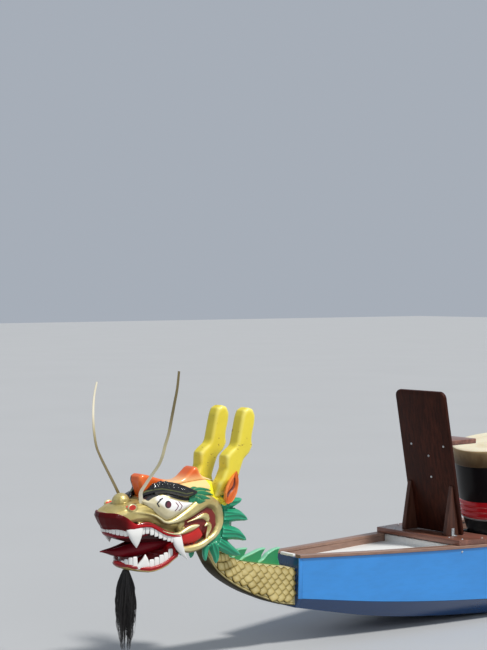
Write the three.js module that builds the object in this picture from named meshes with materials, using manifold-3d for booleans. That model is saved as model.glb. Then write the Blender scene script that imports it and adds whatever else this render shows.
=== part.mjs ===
// Dragon boat: a timber racing hull with a carved head and tail, a drummer's seat,
// a drum, paddlers' benches and a steering oar.
// Millimetres, +X towards the bow, +Y to port, +Z up.
// The origin is amidships on the centreline, at the water that the empty hull floats in.
import * as THREE from "three";
import { mergeVertices } from "three/addons/utils/BufferGeometryUtils.js";
import Module from "manifold-3d";

const wasm = await Module();
wasm.setup();

// Hull
const HALF_LENGTH = 5800;
const STRAKE = 20;
const JOINT = 0.15;
const STATION_STEPS = 24;
const STATION_PITCH = (2 * HALF_LENGTH) / STATION_STEPS;
const END_CLEAR = 5;
const TRANSOM_THICK = 20;
const CAP_WIDTH = 55;
const CAP_THICK = 16;
const CAP_PROUD = 8;
const INWALE_THICK = 18;
const INWALE_DEEP = 42;
const INWALE_END = 2;
const SEAT_GAP = 0.3;

// Columns: distance from amidships, half breadth and height of the gunwale,
// half breadth and height of the chine, half breadth and height of the flat bottom.
const LINES = [
  { x: 0, gunwaleY: 560, gunwaleZ: 357, chineY: 540, chineZ: -2, floorY: 400, floorZ: -107 },
  { x: 1000, gunwaleY: 556, gunwaleZ: 358, chineY: 536, chineZ: 2, floorY: 396, floorZ: -103 },
  { x: 2000, gunwaleY: 540, gunwaleZ: 361, chineY: 520, chineZ: 14, floorY: 382, floorZ: -90 },
  { x: 3000, gunwaleY: 501, gunwaleZ: 368, chineY: 483, chineZ: 38, floorY: 350, floorZ: -63 },
  { x: 4000, gunwaleY: 428, gunwaleZ: 383, chineY: 412, chineZ: 78, floorY: 292, floorZ: -18 },
  { x: 4800, gunwaleY: 309, gunwaleZ: 404, chineY: 298, chineZ: 128, floorY: 206, floorZ: 34 },
  { x: 5300, gunwaleY: 209, gunwaleZ: 420, chineY: 202, chineZ: 172, floorY: 140, floorZ: 88 },
  { x: 5800, gunwaleY: 97, gunwaleZ: 440, chineY: 92, chineZ: 237, floorY: 66, floorZ: 188 },
];

// Decks, benches and the rails that carry them
const DECK_THICK = 12;
const DECK_START = 4600;
const DECK_END = 1;
const DECK_DROP = 0.5;
const RISER_LENGTH = 4500;
const RISER_WIDE = 30;
const RISER_DEEP = 45;
const RISER_DROP = 160;
// How far a blank runs into the planking before it is cut to fit
const SCRIBE = 5;
const BENCH_COUNT = 9;
const BENCH_PITCH = 820;
const BENCH_WIDE = 200;
const BENCH_THICK = 30;
const BENCH_END = 1;
const RIB_THICK = 30;
const RIB_DEEP = 42;
const KEELSON_WIDE = 90;
const KEELSON_DEEP = 50;
const KEELSON_LENGTH = 4400;
const FLOOR_GAP = 1;
const RIB_END = 2;

// Drummer's seat
const SEAT_FRONT = 4842;
const SEAT_BACK = 4560;
const SEAT_BASE_THICK = 28;
const BOARD_WIDE = 360;
const BOARD_TALL = 798;
const BOARD_THICK = 25;
const BOARD_CORNER = 38;
const BOARD_LEAN = THREE.MathUtils.degToRad(10.9);
const BOARD_FOOT = 4670;
const GUSSET_Y = 152;
const GUSSET_THICK = 24;
const GUSSET_LONG = 105;
const GUSSET_TALL = 270;
const GUSSET_TOE = 60;
const GUSSET_HEAD = 60;
const BOARD_FIT = 0.6;
const PERCH_TOP = 961;
const PERCH_HALF = 170;
const PERCH_AFT = 4540;
const PERCH_THICK = 25;
const PERCH_ROOT = 20;
const PERCH_CORNER = 15;
const KNEE_TALL = 205;
const KNEE_THICK = 40;
const KNEE_LAP = 5;
const KNEE_FOOT = [60, 85, 30];
const KNEE_AFT = 60;

// Drum
const DRUM_X = 4110;
const DRUM_TILT = THREE.MathUtils.degToRad(9);
const DRUM_Z = 425;
const DRUM_TALL = 500;
const DRUM_SIDES = 28;
const STAND_HALF = 230;
const STAND_THICK = 30;
const CHOCK_HALF = 190;
const CHOCK_Y = 130;
const CHOCK_LAP = 10;
const CHOCK_GAP = 0.8;

// Steering
const STEER_X = -5000;
const STEER_Y = 450;
const BEAM_WIDE = 110;
const BEAM_THICK = 60;
const BEAM_END = 530;
const BEAM_STARBOARD = 340;
const PAD_LONG = 150;
const PAD_TALL = 12;
const PAD_LAP = 5;
const PIN_HOLE = 18;
const FORK_GAP = 96;
const FORK_CHEEK = 16;
const OAR_ABOVE = 110;
const LOOM_RADIUS = 30;
const LOOM_GAP = 1;
const OAR_INBOARD = 1950;
const OAR_OUTBOARD = 1900;
const COLLAR_RADIUS = 42;
const COLLAR_LONG = 90;
const TRUNNION_RADIUS = 11;
const TRUNNION_ROOT = 34;
const TRUNNION_END = 2;
const FORK_FOOT = { half: 40, low: 6, high: 20 };
// Side view of a cheek of the fork: [half width, height]
const FORK_CHEEK_LINE = [[32, 12], [24, OAR_ABOVE + 20], [12, OAR_ABOVE + 28]];
const FORK_PIN = [[0, -55], [14, -55], [16, -52], [16, 0], [34, 0], [34, 8], [0, 8]];

// Neck, head and tail
const NECK_HALF = 47.5;
const BOARD_EASE = 14;
const HEAD_X = 6300;
const HEAD_Z = 500;

const finish = {
  blue: { color: 0x2f86d8, roughness: 0.3, metalness: 0.0 },
  navy: { color: 0x0d2350, roughness: 0.35, metalness: 0.0 },
  white: { color: 0xe9e7df, roughness: 0.5, metalness: 0.0 },
  teak: { color: 0x6b3826, roughness: 0.4, metalness: 0.0 },
  varnish: { color: 0x43180f, roughness: 0.25, metalness: 0.0 },
  gold: { color: 0xb08a3a, roughness: 0.35, metalness: 0.8 },
  green: { color: 0x1f8f5c, roughness: 0.4, metalness: 0.0 },
  yellow: { color: 0xf2d21c, roughness: 0.4, metalness: 0.0 },
  orange: { color: 0xf06a22, roughness: 0.35, metalness: 0.0 },
  crimson: { color: 0x8c1219, roughness: 0.3, metalness: 0.0 },
  ivory: { color: 0xf0eee6, roughness: 0.35, metalness: 0.0 },
  black: { color: 0x101012, roughness: 0.3, metalness: 0.0 },
  hide: { color: 0xd9bf8c, roughness: 0.6, metalness: 0.0 },
  pine: { color: 0xd8bf92, roughness: 0.55, metalness: 0.0 },
  steel: { color: 0x9a9c9e, roughness: 0.35, metalness: 0.9 },
  hair: { color: 0x0b0b0c, roughness: 0.8, metalness: 0.0 },
};

const { lerp } = THREE.MathUtils;
const point = (x, y, z) => new THREE.Vector3(x, y, z);

// Bare triangles with shared corners, facing out
function bare(geometry) {
  const copy = geometry.clone();
  for (const name of Object.keys(copy.attributes)) {
    if (name !== "position") copy.deleteAttribute(name);
  }
  const merged = mergeVertices(copy, 1e-4);
  if (signedVolume(merged) < 0) {
    const index = merged.index.array;
    for (let i = 0; i < index.length; i += 3) {
      [index[i + 1], index[i + 2]] = [index[i + 2], index[i + 1]];
    }
  }
  return merged;
}

function signedVolume(geometry) {
  const place = geometry.attributes.position;
  const index = geometry.index.array;
  const [a, b, c] = [point(0, 0, 0), point(0, 0, 0), point(0, 0, 0)];
  let sum = 0;
  for (let i = 0; i < index.length; i += 3) {
    a.fromBufferAttribute(place, index[i]);
    b.fromBufferAttribute(place, index[i + 1]);
    c.fromBufferAttribute(place, index[i + 2]);
    sum += a.dot(b.cross(c)) / 6;
  }
  return sum;
}

function toSolid(geometry) {
  const merged = bare(geometry);
  return new wasm.Manifold(new wasm.Mesh({
    numProp: 3,
    vertProperties: new Float32Array(merged.attributes.position.array),
    triVerts: new Uint32Array(merged.index.array),
  }));
}

function toGeometry(solid) {
  const mesh = solid.getMesh();
  const geometry = new THREE.BufferGeometry();
  const numbers = new Float32Array(mesh.numVert * 3);
  for (let i = 0; i < mesh.numVert; i += 1) {
    numbers.set(mesh.vertProperties.subarray(i * mesh.numProp, i * mesh.numProp + 3), i * 3);
  }
  geometry.setAttribute("position", new THREE.BufferAttribute(numbers, 3));
  geometry.setIndex(new THREE.BufferAttribute(new Uint32Array(mesh.triVerts), 1));
  return geometry;
}

function join(...geometries) {
  return toGeometry(geometries.map(toSolid).reduce((sum, next) => sum.add(next)));
}

// The largest body that is left when the others are cut away
function cut(geometry, ...cutters) {
  let left = toSolid(geometry);
  for (const cutter of cutters) left = left.subtract(toSolid(cutter));
  const bodies = left.decompose().sort((one, other) => other.volume() - one.volume());
  return toGeometry(bodies[0]);
}

// A solid made larger all round, so that a piece cut by it keeps a gap
function grown(geometry, by = 0.5) {
  const merged = bare(geometry);
  merged.computeVertexNormals();
  const place = merged.attributes.position;
  const normal = merged.attributes.normal;
  for (let i = 0; i < place.count; i += 1) {
    place.setXYZ(
      i,
      place.getX(i) + normal.getX(i) * by,
      place.getY(i) + normal.getY(i) * by,
      place.getZ(i) + normal.getZ(i) * by,
    );
  }
  return merged;
}

// A piece cut back from each body that it rests on or meets, with a small gap to it
function seated(geometry, ...hosts) {
  return cut(geometry, ...hosts.map((host) => grown(host)));
}

// A skin over a row of rings with equal numbers of points, closed at both ends;
// each four-sided patch is split along its shorter diagonal
function loft(rings) {
  const count = rings[0].length;
  const numbers = [];
  const index = [];
  for (const ring of rings) for (const p of ring) numbers.push(p.x, p.y, p.z);
  for (let i = 0; i + 1 < rings.length; i += 1) {
    for (let j = 0; j < count; j += 1) {
      const a = i * count + j;
      const b = i * count + ((j + 1) % count);
      const next = (j + 1) % count;
      const rising = rings[i][j].distanceTo(rings[i + 1][next]);
      const falling = rings[i][next].distanceTo(rings[i + 1][j]);
      if (rising < falling) index.push(a, b, b + count, a, b + count, a + count);
      else index.push(a, b, a + count, b, b + count, a + count);
    }
  }
  const last = (rings.length - 1) * count;
  for (let j = 1; j + 1 < count; j += 1) {
    index.push(0, j + 1, j, last, last + j, last + j + 1);
  }
  const geometry = new THREE.BufferGeometry();
  geometry.setAttribute("position", new THREE.Float32BufferAttribute(numbers, 3));
  geometry.setIndex(index);
  return bare(geometry);
}

function box(x0, x1, y0, y1, z0, z1) {
  const geometry = new THREE.BoxGeometry(x1 - x0, y1 - y0, z1 - z0);
  return bare(geometry.translate((x0 + x1) / 2, (y0 + y1) / 2, (z0 + z1) / 2));
}

const shapeOf = (outline) => new THREE.Shape(outline.map(([a, b]) => new THREE.Vector2(a, b)));

// A board cut to a side view outline of [x, z] pairs, centred on y
function sidePlate(outline, y, thick, { bevel = 0, holes = [] } = {}) {
  const shape = shapeOf(outline);
  shape.holes = holes;
  const geometry = new THREE.ExtrudeGeometry(shape, {
    depth: thick - 2 * bevel,
    bevelEnabled: bevel > 0,
    bevelThickness: bevel,
    bevelSize: bevel,
    bevelOffset: -bevel,
    bevelSegments: 1,
    curveSegments: 6,
  });
  return bare(geometry.rotateX(Math.PI / 2).translate(0, y + thick / 2 - bevel, 0));
}

// A board cut to a plan outline of [x, y] pairs, from z up
function planPlate(outline, z, thick) {
  const geometry = new THREE.ExtrudeGeometry(shapeOf(outline), { depth: thick, bevelEnabled: false });
  return bare(geometry.translate(0, 0, z));
}

// A path steeper than this takes its sides from +X
const UPRIGHT = 0.98;

// A rod along a curve; sizeAt(t) gives its half width and half height
function rod(path, placeAt, sizeAt, steps, ring) {
  return loft(evenly(0, 1, steps).map((t) => {
    const along = path.getTangent(t);
    const up = Math.abs(along.z) > UPRIGHT ? point(1, 0, 0) : point(0, 0, 1);
    const side = point(0, 0, 0).crossVectors(up, along).normalize();
    const rise = point(0, 0, 0).crossVectors(along, side).normalize();
    const [wide, tall] = sizeAt(t);
    return ring.map(([u, v]) => placeAt(t).clone().addScaledVector(side, u * wide).addScaledVector(rise, v * tall));
  }));
}

function sweep(points, sizeAt, { steps = 16, sides = 8 } = {}) {
  const path = new THREE.CatmullRomCurve3(points, false, "centripetal");
  return rod(path, (t) => path.getPoint(t), sizeAt, steps, ringOf(sides));
}

// Unit ring: a circle at roundness 1, nearer a square as it falls
function ringOf(sides, roundness = 1) {
  return Array.from({ length: sides }, (_, i) => {
    const angle = ((i + 0.5) / sides) * 2 * Math.PI;
    const [c, s] = [Math.cos(angle), Math.sin(angle)];
    const power = roundness;
    return [Math.sign(c) * Math.abs(c) ** power, Math.sign(s) * Math.abs(s) ** power];
  });
}

// Hull lines at a distance x from amidships, the same fore and aft:
// straight between the stations, which lie on smooth curves
function lineAt(x, column) {
  const at = Math.min(Math.abs(x), HALF_LENGTH);
  const before = Math.min(Math.floor(at / STATION_PITCH), STATION_STEPS / 2 - 1) * STATION_PITCH;
  const t = (at - before) / STATION_PITCH;
  return lerp(curveAt(before, column), curveAt(before + STATION_PITCH, column), t);
}

function curveAt(at, column) {
  let i = 0;
  while (i < LINES.length - 2 && LINES[i + 1].x < at) i += 1;
  const row = (n) => LINES[Math.max(0, Math.min(LINES.length - 1, n))];
  const slope = (n) => {
    if (n === 0) return 0;
    const [before, after] = [row(n - 1), row(n + 1)];
    return (after[column] - before[column]) / (after.x - before.x);
  };
  const span = row(i + 1).x - row(i).x;
  const t = (at - row(i).x) / span;
  const [start, end] = [row(i)[column], row(i + 1)[column]];
  const [m0, m1] = [slope(i) * span, slope(i + 1) * span];
  return (2 * t ** 3 - 3 * t ** 2 + 1) * start + (t ** 3 - 2 * t ** 2 + t) * m0
    + (3 * t ** 2 - 2 * t ** 3) * end + (t ** 3 - t ** 2) * m1;
}

const gunwaleZ = (x) => lineAt(x, "gunwaleZ");
const capTop = (x) => gunwaleZ(x) + SEAT_GAP + CAP_THICK;

// The hull's outline on one side, from gunwale to the middle of the bottom
function outerLine(x) {
  return [
    [lineAt(x, "gunwaleY"), lineAt(x, "gunwaleZ")],
    [lineAt(x, "chineY"), lineAt(x, "chineZ")],
    [lineAt(x, "floorY"), lineAt(x, "floorZ")],
    [0, lineAt(x, "floorZ")],
  ];
}

// The same outline moved in by the planks' thickness, mitred at each corner
function innerLine(x, thick = STRAKE) {
  const line = outerLine(x);
  const edges = line.slice(1).map(([y1, z1], i) => {
    const [y0, z0] = line[i];
    const long = Math.hypot(y1 - y0, z1 - z0);
    const inward = [(z1 - z0) / long, -(y1 - y0) / long];
    return { at: [y0 + inward[0] * thick, z0 + inward[1] * thick], run: [(y1 - y0) / long, (z1 - z0) / long] };
  });
  const meet = (one, other) => {
    const cross = one.run[0] * other.run[1] - one.run[1] * other.run[0];
    const gap = [other.at[0] - one.at[0], other.at[1] - one.at[1]];
    const t = (gap[0] * other.run[1] - gap[1] * other.run[0]) / cross;
    return [one.at[0] + one.run[0] * t, one.at[1] + one.run[1] * t];
  };
  const top = edges[0].at[0] + (edges[0].run[0] / edges[0].run[1]) * (line[0][1] - edges[0].at[1]);
  return [[top, line[0][1]], meet(edges[0], edges[1]), meet(edges[1], edges[2]), [0, edges[2].at[1]]];
}

// Half breadth inside the planks at a height z
function innerY(x, z) {
  const line = innerLine(x);
  for (let i = 0; i + 1 < line.length; i += 1) {
    const [[y0, z0], [y1, z1]] = [line[i], line[i + 1]];
    if (z <= z0 && z >= z1 && z0 !== z1) return lerp(y0, y1, (z0 - z) / (z0 - z1));
  }
  return line[0][0];
}

// Places between two ends, at even steps, or at the hull's own stations
const evenly = (from, to, steps) => Array.from({ length: steps + 1 }, (_, i) => lerp(from, to, i / steps));

function hullStations(from, to) {
  const between = evenly(-HALF_LENGTH, HALF_LENGTH, STATION_STEPS).filter((x) => x > from + END_CLEAR && x < to - END_CLEAR);
  return [from, ...between, to];
}

// One strake: a slice of the planking between two corners of the hull's outline
function strake(corner, side) {
  const end = HALF_LENGTH - TRANSOM_THICK - SEAT_GAP;
  const rings = hullStations(-end, end).map((x) => {
    const [outer, inner] = [outerLine(x), innerLine(x)];
    const [a, b, c, d] = [outer[corner], outer[corner + 1], inner[corner + 1], inner[corner]];
    const long = Math.hypot(b[0] - a[0], b[1] - a[1]);
    const step = [((b[0] - a[0]) / long) * JOINT, ((b[1] - a[1]) / long) * JOINT];
    return [
      [a[0] + step[0], a[1] + step[1]],
      [b[0] - step[0], b[1] - step[1]],
      [c[0] - step[0], c[1] - step[1]],
      [d[0] + step[0], d[1] + step[1]],
    ].map(([y, z]) => point(x, side * y, z));
  });
  return loft(rings);
}

function bottomPlank() {
  const end = HALF_LENGTH - TRANSOM_THICK - SEAT_GAP;
  return loft(hullStations(-end, end).map((x) => {
    const [outer, inner] = [outerLine(x)[2], innerLine(x)[2]];
    return [
      point(x, -outer[0] + JOINT, outer[1]),
      point(x, outer[0] - JOINT, outer[1]),
      point(x, inner[0] - JOINT, inner[1]),
      point(x, -inner[0] + JOINT, inner[1]),
    ];
  }));
}

// A long member whose section is worked out at each of the hull's stations
const member = (from, to, section) => loft(hullStations(from, to)
  .map((x) => section(x).map(([y, z]) => point(x, y, z))));

function gunwaleCap(side) {
  return member(-HALF_LENGTH, HALF_LENGTH, (x) => {
    const outer = lineAt(x, "gunwaleY") + CAP_PROUD;
    const z = gunwaleZ(x) + SEAT_GAP;
    return [
      [side * outer, z], [side * outer, z + CAP_THICK],
      [side * (outer - CAP_WIDTH), z + CAP_THICK], [side * (outer - CAP_WIDTH), z],
    ];
  });
}

function inwale(side) {
  const end = HALF_LENGTH - TRANSOM_THICK - INWALE_END;
  return member(-end, end, (x) => {
    const top = gunwaleZ(x) - 0.1;
    const outer = innerY(x, top - INWALE_DEEP) - SEAT_GAP;
    return [
      [side * outer, top], [side * outer, top - INWALE_DEEP],
      [side * (outer - INWALE_THICK), top - INWALE_DEEP], [side * (outer - INWALE_THICK), top],
    ];
  });
}

function riser(side) {
  const blank = member(-RISER_LENGTH, RISER_LENGTH, (x) => {
    const top = gunwaleZ(x) - RISER_DROP;
    const outer = innerY(x, top - RISER_DEEP) + SCRIBE;
    return [
      [side * outer, top], [side * outer, top - RISER_DEEP],
      [side * (outer - RISER_WIDE), top - RISER_DEEP], [side * (outer - RISER_WIDE), top],
    ];
  });
  return seated(blank, strake(0, side));
}

function deck(direction) {
  const end = HALF_LENGTH - TRANSOM_THICK - DECK_END;
  const [from, to] = [direction * DECK_START, direction * end].sort((one, other) => one - other);
  const blank = member(from, to, (x) => {
    const top = gunwaleZ(x) - INWALE_DEEP - DECK_DROP;
    const y = innerY(x, top) + SCRIBE;
    return [[y, top], [-y, top], [-y, top - DECK_THICK], [y, top - DECK_THICK]];
  });
  return seated(blank, strake(0, 1), strake(0, -1));
}

// Height at which a plank from x0 to x1 rests on the risers
const restZ = (x0, x1) => Math.max(gunwaleZ(x0), gunwaleZ(x1)) - RISER_DROP + SEAT_GAP;

// A plank right across the hull, its ends cut to the planking
function thwart(x0, x1, z, thick) {
  const [y0, y1] = [innerY(x0, z) - BENCH_END, innerY(x1, z) - BENCH_END];
  return planPlate([[x0, -y0], [x1, -y1], [x1, y1], [x0, y0]], z, thick);
}

// The keelson along the bottom, with the ribs let into it
function ribs() {
  const floor = (x) => lineAt(x, "floorZ") + STRAKE;
  const keelson = member(-KEELSON_LENGTH, KEELSON_LENGTH, (x) => {
    const z = floor(x) + FLOOR_GAP;
    const y = KEELSON_WIDE / 2;
    return [[y, z], [-y, z], [-y, z + KEELSON_DEEP], [y, z + KEELSON_DEEP]];
  });
  const frames = [];
  for (let i = 0; i <= BENCH_COUNT; i += 1) {
    const x = (i - BENCH_COUNT / 2) * BENCH_PITCH;
    const z = floor(Math.abs(x) + RIB_THICK / 2) + FLOOR_GAP;
    const y = innerLine(Math.abs(x) + RIB_THICK / 2)[2][0] - RIB_END;
    frames.push(box(x - RIB_THICK / 2, x + RIB_THICK / 2, -y, y, z, z + RIB_DEEP));
  }
  return join(keelson, ...frames);
}

function transom(direction) {
  return loft([HALF_LENGTH - TRANSOM_THICK, HALF_LENGTH].map((x) => {
    const outline = outerLine(x).slice(0, 3);
    const ring = [...outline, ...outline.map(([y, z]) => [-y, z]).reverse()];
    return ring.map(([y, z]) => point(direction * x, y, z));
  }));
}

// Drummer's seat
const seatBaseTop = (x) => lerp(capTop(SEAT_BACK), capTop(SEAT_FRONT), (x - SEAT_BACK) / (SEAT_FRONT - SEAT_BACK))
  + SEAT_BASE_THICK;

function seatBase() {
  const half = (x) => lineAt(x, "gunwaleY") + 3;
  return member(SEAT_BACK, SEAT_FRONT, (x) => [
    [half(x), capTop(x) + SEAT_GAP], [-half(x), capTop(x) + SEAT_GAP],
    [-half(x), seatBaseTop(x)], [half(x), seatBaseTop(x)],
  ]);
}

// The leaning board stands in its own frame: x across its thickness, z up its face
function boardFrame(geometry) {
  return bare(geometry.clone().rotateY(BOARD_LEAN).translate(BOARD_FOOT, 0, seatBaseTop(BOARD_FOOT)));
}

function backBoard() {
  const half = BOARD_WIDE / 2;
  const shape = new THREE.Shape();
  shape.moveTo(-half, 0);
  shape.lineTo(half, 0);
  shape.lineTo(half, BOARD_TALL - BOARD_CORNER);
  shape.absarc(half - BOARD_CORNER, BOARD_TALL - BOARD_CORNER, BOARD_CORNER, 0, Math.PI / 2, false);
  shape.absarc(-half + BOARD_CORNER, BOARD_TALL - BOARD_CORNER, BOARD_CORNER, Math.PI / 2, Math.PI, false);
  const flat = new THREE.ExtrudeGeometry(shape, { depth: BOARD_THICK, bevelEnabled: false, curveSegments: 5 });
  const upright = flat.translate(0, 0, -BOARD_THICK / 2).rotateX(Math.PI / 2).rotateZ(Math.PI / 2);
  return cut(boardFrame(upright), grown(seatBase(), BOARD_FIT));
}

function gusset(side) {
  const foot = seatBaseTop(BOARD_FOOT) - SEAT_BASE_THICK;
  const face = boardFrame(box(-GUSSET_LONG, BOARD_THICK / 2 + SEAT_GAP, -BOARD_WIDE, BOARD_WIDE, -BOARD_THICK, BOARD_TALL));
  const x = BOARD_FOOT + BOARD_THICK / 2;
  const top = seatBaseTop(BOARD_FOOT) + GUSSET_TALL;
  const blank = sidePlate(
    [
      [x - BOARD_THICK, foot], [x + GUSSET_LONG, foot], [x + GUSSET_LONG, foot + GUSSET_TOE],
      [x + GUSSET_HEAD, top], [x - BOARD_THICK, top],
    ],
    side * GUSSET_Y,
    GUSSET_THICK,
  );
  return cut(blank, face, grown(seatBase(), BOARD_FIT));
}

function perch() {
  const boardX = BOARD_FOOT + Math.tan(BOARD_LEAN) * (PERCH_TOP - seatBaseTop(BOARD_FOOT));
  const root = boardX + PERCH_ROOT;
  const inner = PERCH_HALF - PERCH_CORNER;
  const top = planPlate([
    [root, -PERCH_HALF], [root, PERCH_HALF], [PERCH_AFT + PERCH_CORNER, PERCH_HALF],
    [PERCH_AFT, inner], [PERCH_AFT, -inner], [PERCH_AFT + PERCH_CORNER, -PERCH_HALF],
  ], PERCH_TOP - PERCH_THICK, PERCH_THICK);
  const under = PERCH_TOP - PERCH_THICK + KNEE_LAP;
  const [near, far, lift] = KNEE_FOOT;
  const knee = sidePlate([
    [root, under], [boardX - near, under - KNEE_TALL],
    [boardX - far, under - KNEE_TALL + lift], [PERCH_AFT + KNEE_AFT, under],
  ], 0, KNEE_THICK);
  const aft = -BOARD_THICK / 2 - SEAT_GAP;
  const face = boardFrame(box(aft, BOARD_WIDE, -BOARD_WIDE, BOARD_WIDE, -BOARD_THICK, BOARD_TALL + BOARD_CORNER));
  return cut(join(top, knee), face);
}

// Drum, standing at the origin of its own tilted group
const DRUM_PROFILE = [
  [0, 0], [214, 0], [222, 8], [230, 82], [240, 84], [240, 92], [242, 98], [248, 112], [242, 126],
  [249, 142], [243, 156], [249, 172], [243, 188], [245, 390], [243, 395], [0, 395],
];

function drumShell() {
  return bare(latheUp(DRUM_PROFILE, DRUM_SIDES));
}

function drumHead() {
  const profile = [
    [0, 395.4], [247, 395.4], [252, 402], [254, 470], [249, 486], [238, 494], [180, 497], [0, DRUM_TALL],
  ];
  return bare(latheUp(profile, DRUM_SIDES));
}

// A turned solid about +Z from [radius, height] pairs
function latheUp(profile, sides) {
  const curve = profile.map(([r, h]) => new THREE.Vector2(r, h));
  return new THREE.LatheGeometry(curve, sides).rotateX(Math.PI / 2);
}

function drumStand() {
  const [aft, fore] = [DRUM_X - STAND_HALF, DRUM_X + STAND_HALF];
  const z = restZ(aft, fore);
  const shelf = thwart(aft, fore, z, STAND_THICK);
  const rise = (x) => DRUM_Z - (x - DRUM_X) * Math.tan(DRUM_TILT) - CHOCK_GAP;
  const [back, front, foot] = [DRUM_X - CHOCK_HALF, DRUM_X + CHOCK_HALF, z + STAND_THICK - CHOCK_LAP];
  const chocks = [-1, 1].map((side) => sidePlate(
    [[back, foot], [front, foot], [front, rise(front)], [back, rise(back)]],
    side * CHOCK_Y,
    STAND_THICK,
  ));
  return seated(join(shelf, ...chocks), strake(0, 1), strake(0, -1));
}

// Steering: a beam over the stern, a fork that turns on it, a collar that tips in the fork,
// and the oar that turns in the collar
const beamZ = capTop(STEER_X - BEAM_WIDE / 2) + SEAT_GAP;
const forkZ = beamZ + BEAM_THICK + PAD_TALL;
const oarZ = forkZ + OAR_ABOVE;

const ringHole = (x, y, radius) => new THREE.Path().absarc(x, y, radius, 0, Math.PI * 2, true);

// The beam carries a block under the fork, bored for the fork's pin
function steeringBeam() {
  const half = BEAM_WIDE / 2;
  const top = beamZ + BEAM_THICK;
  const beam = box(STEER_X - half, STEER_X + half, -BEAM_STARBOARD, BEAM_END, beamZ, top);
  const [inboard, outboard] = [STEER_Y - PAD_LONG / 2, STEER_Y + PAD_LONG / 2];
  const pad = box(STEER_X - half, STEER_X + half, inboard, outboard, top - PAD_LAP, top + PAD_TALL);
  const bore = new THREE.CylinderGeometry(PIN_HOLE, PIN_HOLE, 3 * BEAM_THICK, 20)
    .rotateX(Math.PI / 2).translate(STEER_X, STEER_Y, beamZ);
  return cut(join(beam, pad), bore);
}

function rowlock() {
  const wide = FORK_GAP / 2 + FORK_CHEEK;
  const foot = box(-FORK_FOOT.half, FORK_FOOT.half, -wide, wide, FORK_FOOT.low, FORK_FOOT.high);
  const cheeks = [-1, 1].map((side) => sidePlate(
    [...FORK_CHEEK_LINE, ...FORK_CHEEK_LINE.map(([x, z]) => [-x, z]).reverse()],
    side * (FORK_GAP + FORK_CHEEK) / 2,
    FORK_CHEEK,
    { holes: [ringHole(0, OAR_ABOVE, TRUNNION_RADIUS + LOOM_GAP)] },
  ));
  return join(foot, ...cheeks, latheUp(FORK_PIN, 16));
}

function oarCollar() {
  const [bore, end] = [LOOM_RADIUS + LOOM_GAP, COLLAR_LONG / 2];
  const section = [[bore, -end], [COLLAR_RADIUS, -end], [COLLAR_RADIUS, end], [bore, end], [bore, -end]];
  const tube = new THREE.LatheGeometry(section.map(([r, x]) => new THREE.Vector2(r, x)), 20).rotateZ(Math.PI / 2);
  const reach = FORK_GAP / 2 + FORK_CHEEK + TRUNNION_END;
  const trunnions = [-1, 1].map((side) => (
    new THREE.CylinderGeometry(TRUNNION_RADIUS, TRUNNION_RADIUS, reach - TRUNNION_ROOT, 14)
      .translate(0, side * (TRUNNION_ROOT + reach) / 2, 0)
  ));
  return join(tube, ...trunnions);
}

// Columns: distance along the oar from the collar, half width across, half height
const OAR_LINES = [
  { x: OAR_INBOARD, wide: 16, tall: 16 },
  { x: OAR_INBOARD - 30, wide: 20, tall: 20 },
  { x: OAR_INBOARD - 320, wide: 21, tall: 21 },
  { x: OAR_INBOARD - 420, wide: LOOM_RADIUS, tall: LOOM_RADIUS },
  { x: -60, wide: LOOM_RADIUS, tall: LOOM_RADIUS },
  { x: -700, wide: 23, tall: 23 },
  { x: -1060, wide: 19, tall: 26 },
  { x: -1180, wide: 11, tall: 62 },
  { x: -1320, wide: 9, tall: 92 },
  { x: 40 - OAR_OUTBOARD, wide: 7, tall: 100 },
  { x: -OAR_OUTBOARD, wide: 6, tall: 82 },
];

const BLADE_FROM = 40;
const BLADE_ROUNDNESS = 0.7;

function steeringOar() {
  return loft(OAR_LINES.map(({ x, wide, tall }) => ringOf(12, tall > BLADE_FROM ? BLADE_ROUNDNESS : 1)
    .map(([u, v]) => point(x, u * wide, v * tall))));
}

// Neck: a thin timber that rises forward from the bow transom
const NECK_LINES = [
  { x: HALF_LENGTH + SEAT_GAP, low: 196, high: 388 },
  { x: 5900, low: 218, high: 408 },
  { x: 6000, low: 256, high: 428 },
  { x: 6100, low: 300, high: 450 },
  { x: 6180, low: 344, high: 474 },
  { x: 6250, low: 392, high: 520 },
  { x: 6300, low: 440, high: 580 },
  { x: 6340, low: 500, high: 620 },
];

function neck() {
  return loft(NECK_LINES.map(({ x, low, high }) => boardRing(x, low, high, NECK_HALF)));
}

// A ring with eased edges round a board that stands on edge
function boardRing(x, low, high, half) {
  const e = Math.min(BOARD_EASE, (high - low) / 3, half / 2);
  return [
    [half, low + e], [half, high - e], [half - e, high], [e - half, high],
    [-half, high - e], [-half, low + e], [e - half, low], [half - e, low],
  ].map(([y, z]) => point(x, y, z));
}

const NECK_FINS = [
  [5840, 360], [6240, 430], [6225, 512], [6150, 486], [6128, 512], [6065, 512], [6090, 470],
  [6040, 482], [5988, 496], [5945, 499], [5972, 466], [5980, 440], [5962, 447], [5936, 468],
  [5890, 486], [5851, 490], [5863, 466], [5866, 441],
];
const NECK_FIN_THICK = 22;

const neckFins = () => seated(sidePlate(NECK_FINS, 0, NECK_FIN_THICK), neck());

// Tail: the same carved board, rising aft from the stern transom and drawn out to a point
const TAIL_LINES = [
  { aft: SEAT_GAP, low: 235, high: 413, half: 47 },
  { aft: 236, low: 256, high: 420, half: 45 },
  { aft: 436, low: 294, high: 451, half: 42 },
  { aft: 608, low: 360, high: 514, half: 38 },
  { aft: 722, low: 414, high: 562, half: 34 },
  { aft: 865, low: 480, high: 592, half: 28 },
  { aft: 980, low: 540, high: 612, half: 22 },
  { aft: 1060, low: 590, high: 640, half: 16 },
  { aft: 1110, low: 640, high: 662, half: 9 },
];

function tail() {
  return loft(TAIL_LINES.map(({ aft, low, high, half }) => boardRing(-HALF_LENGTH - aft, low, high, half)));
}

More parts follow.
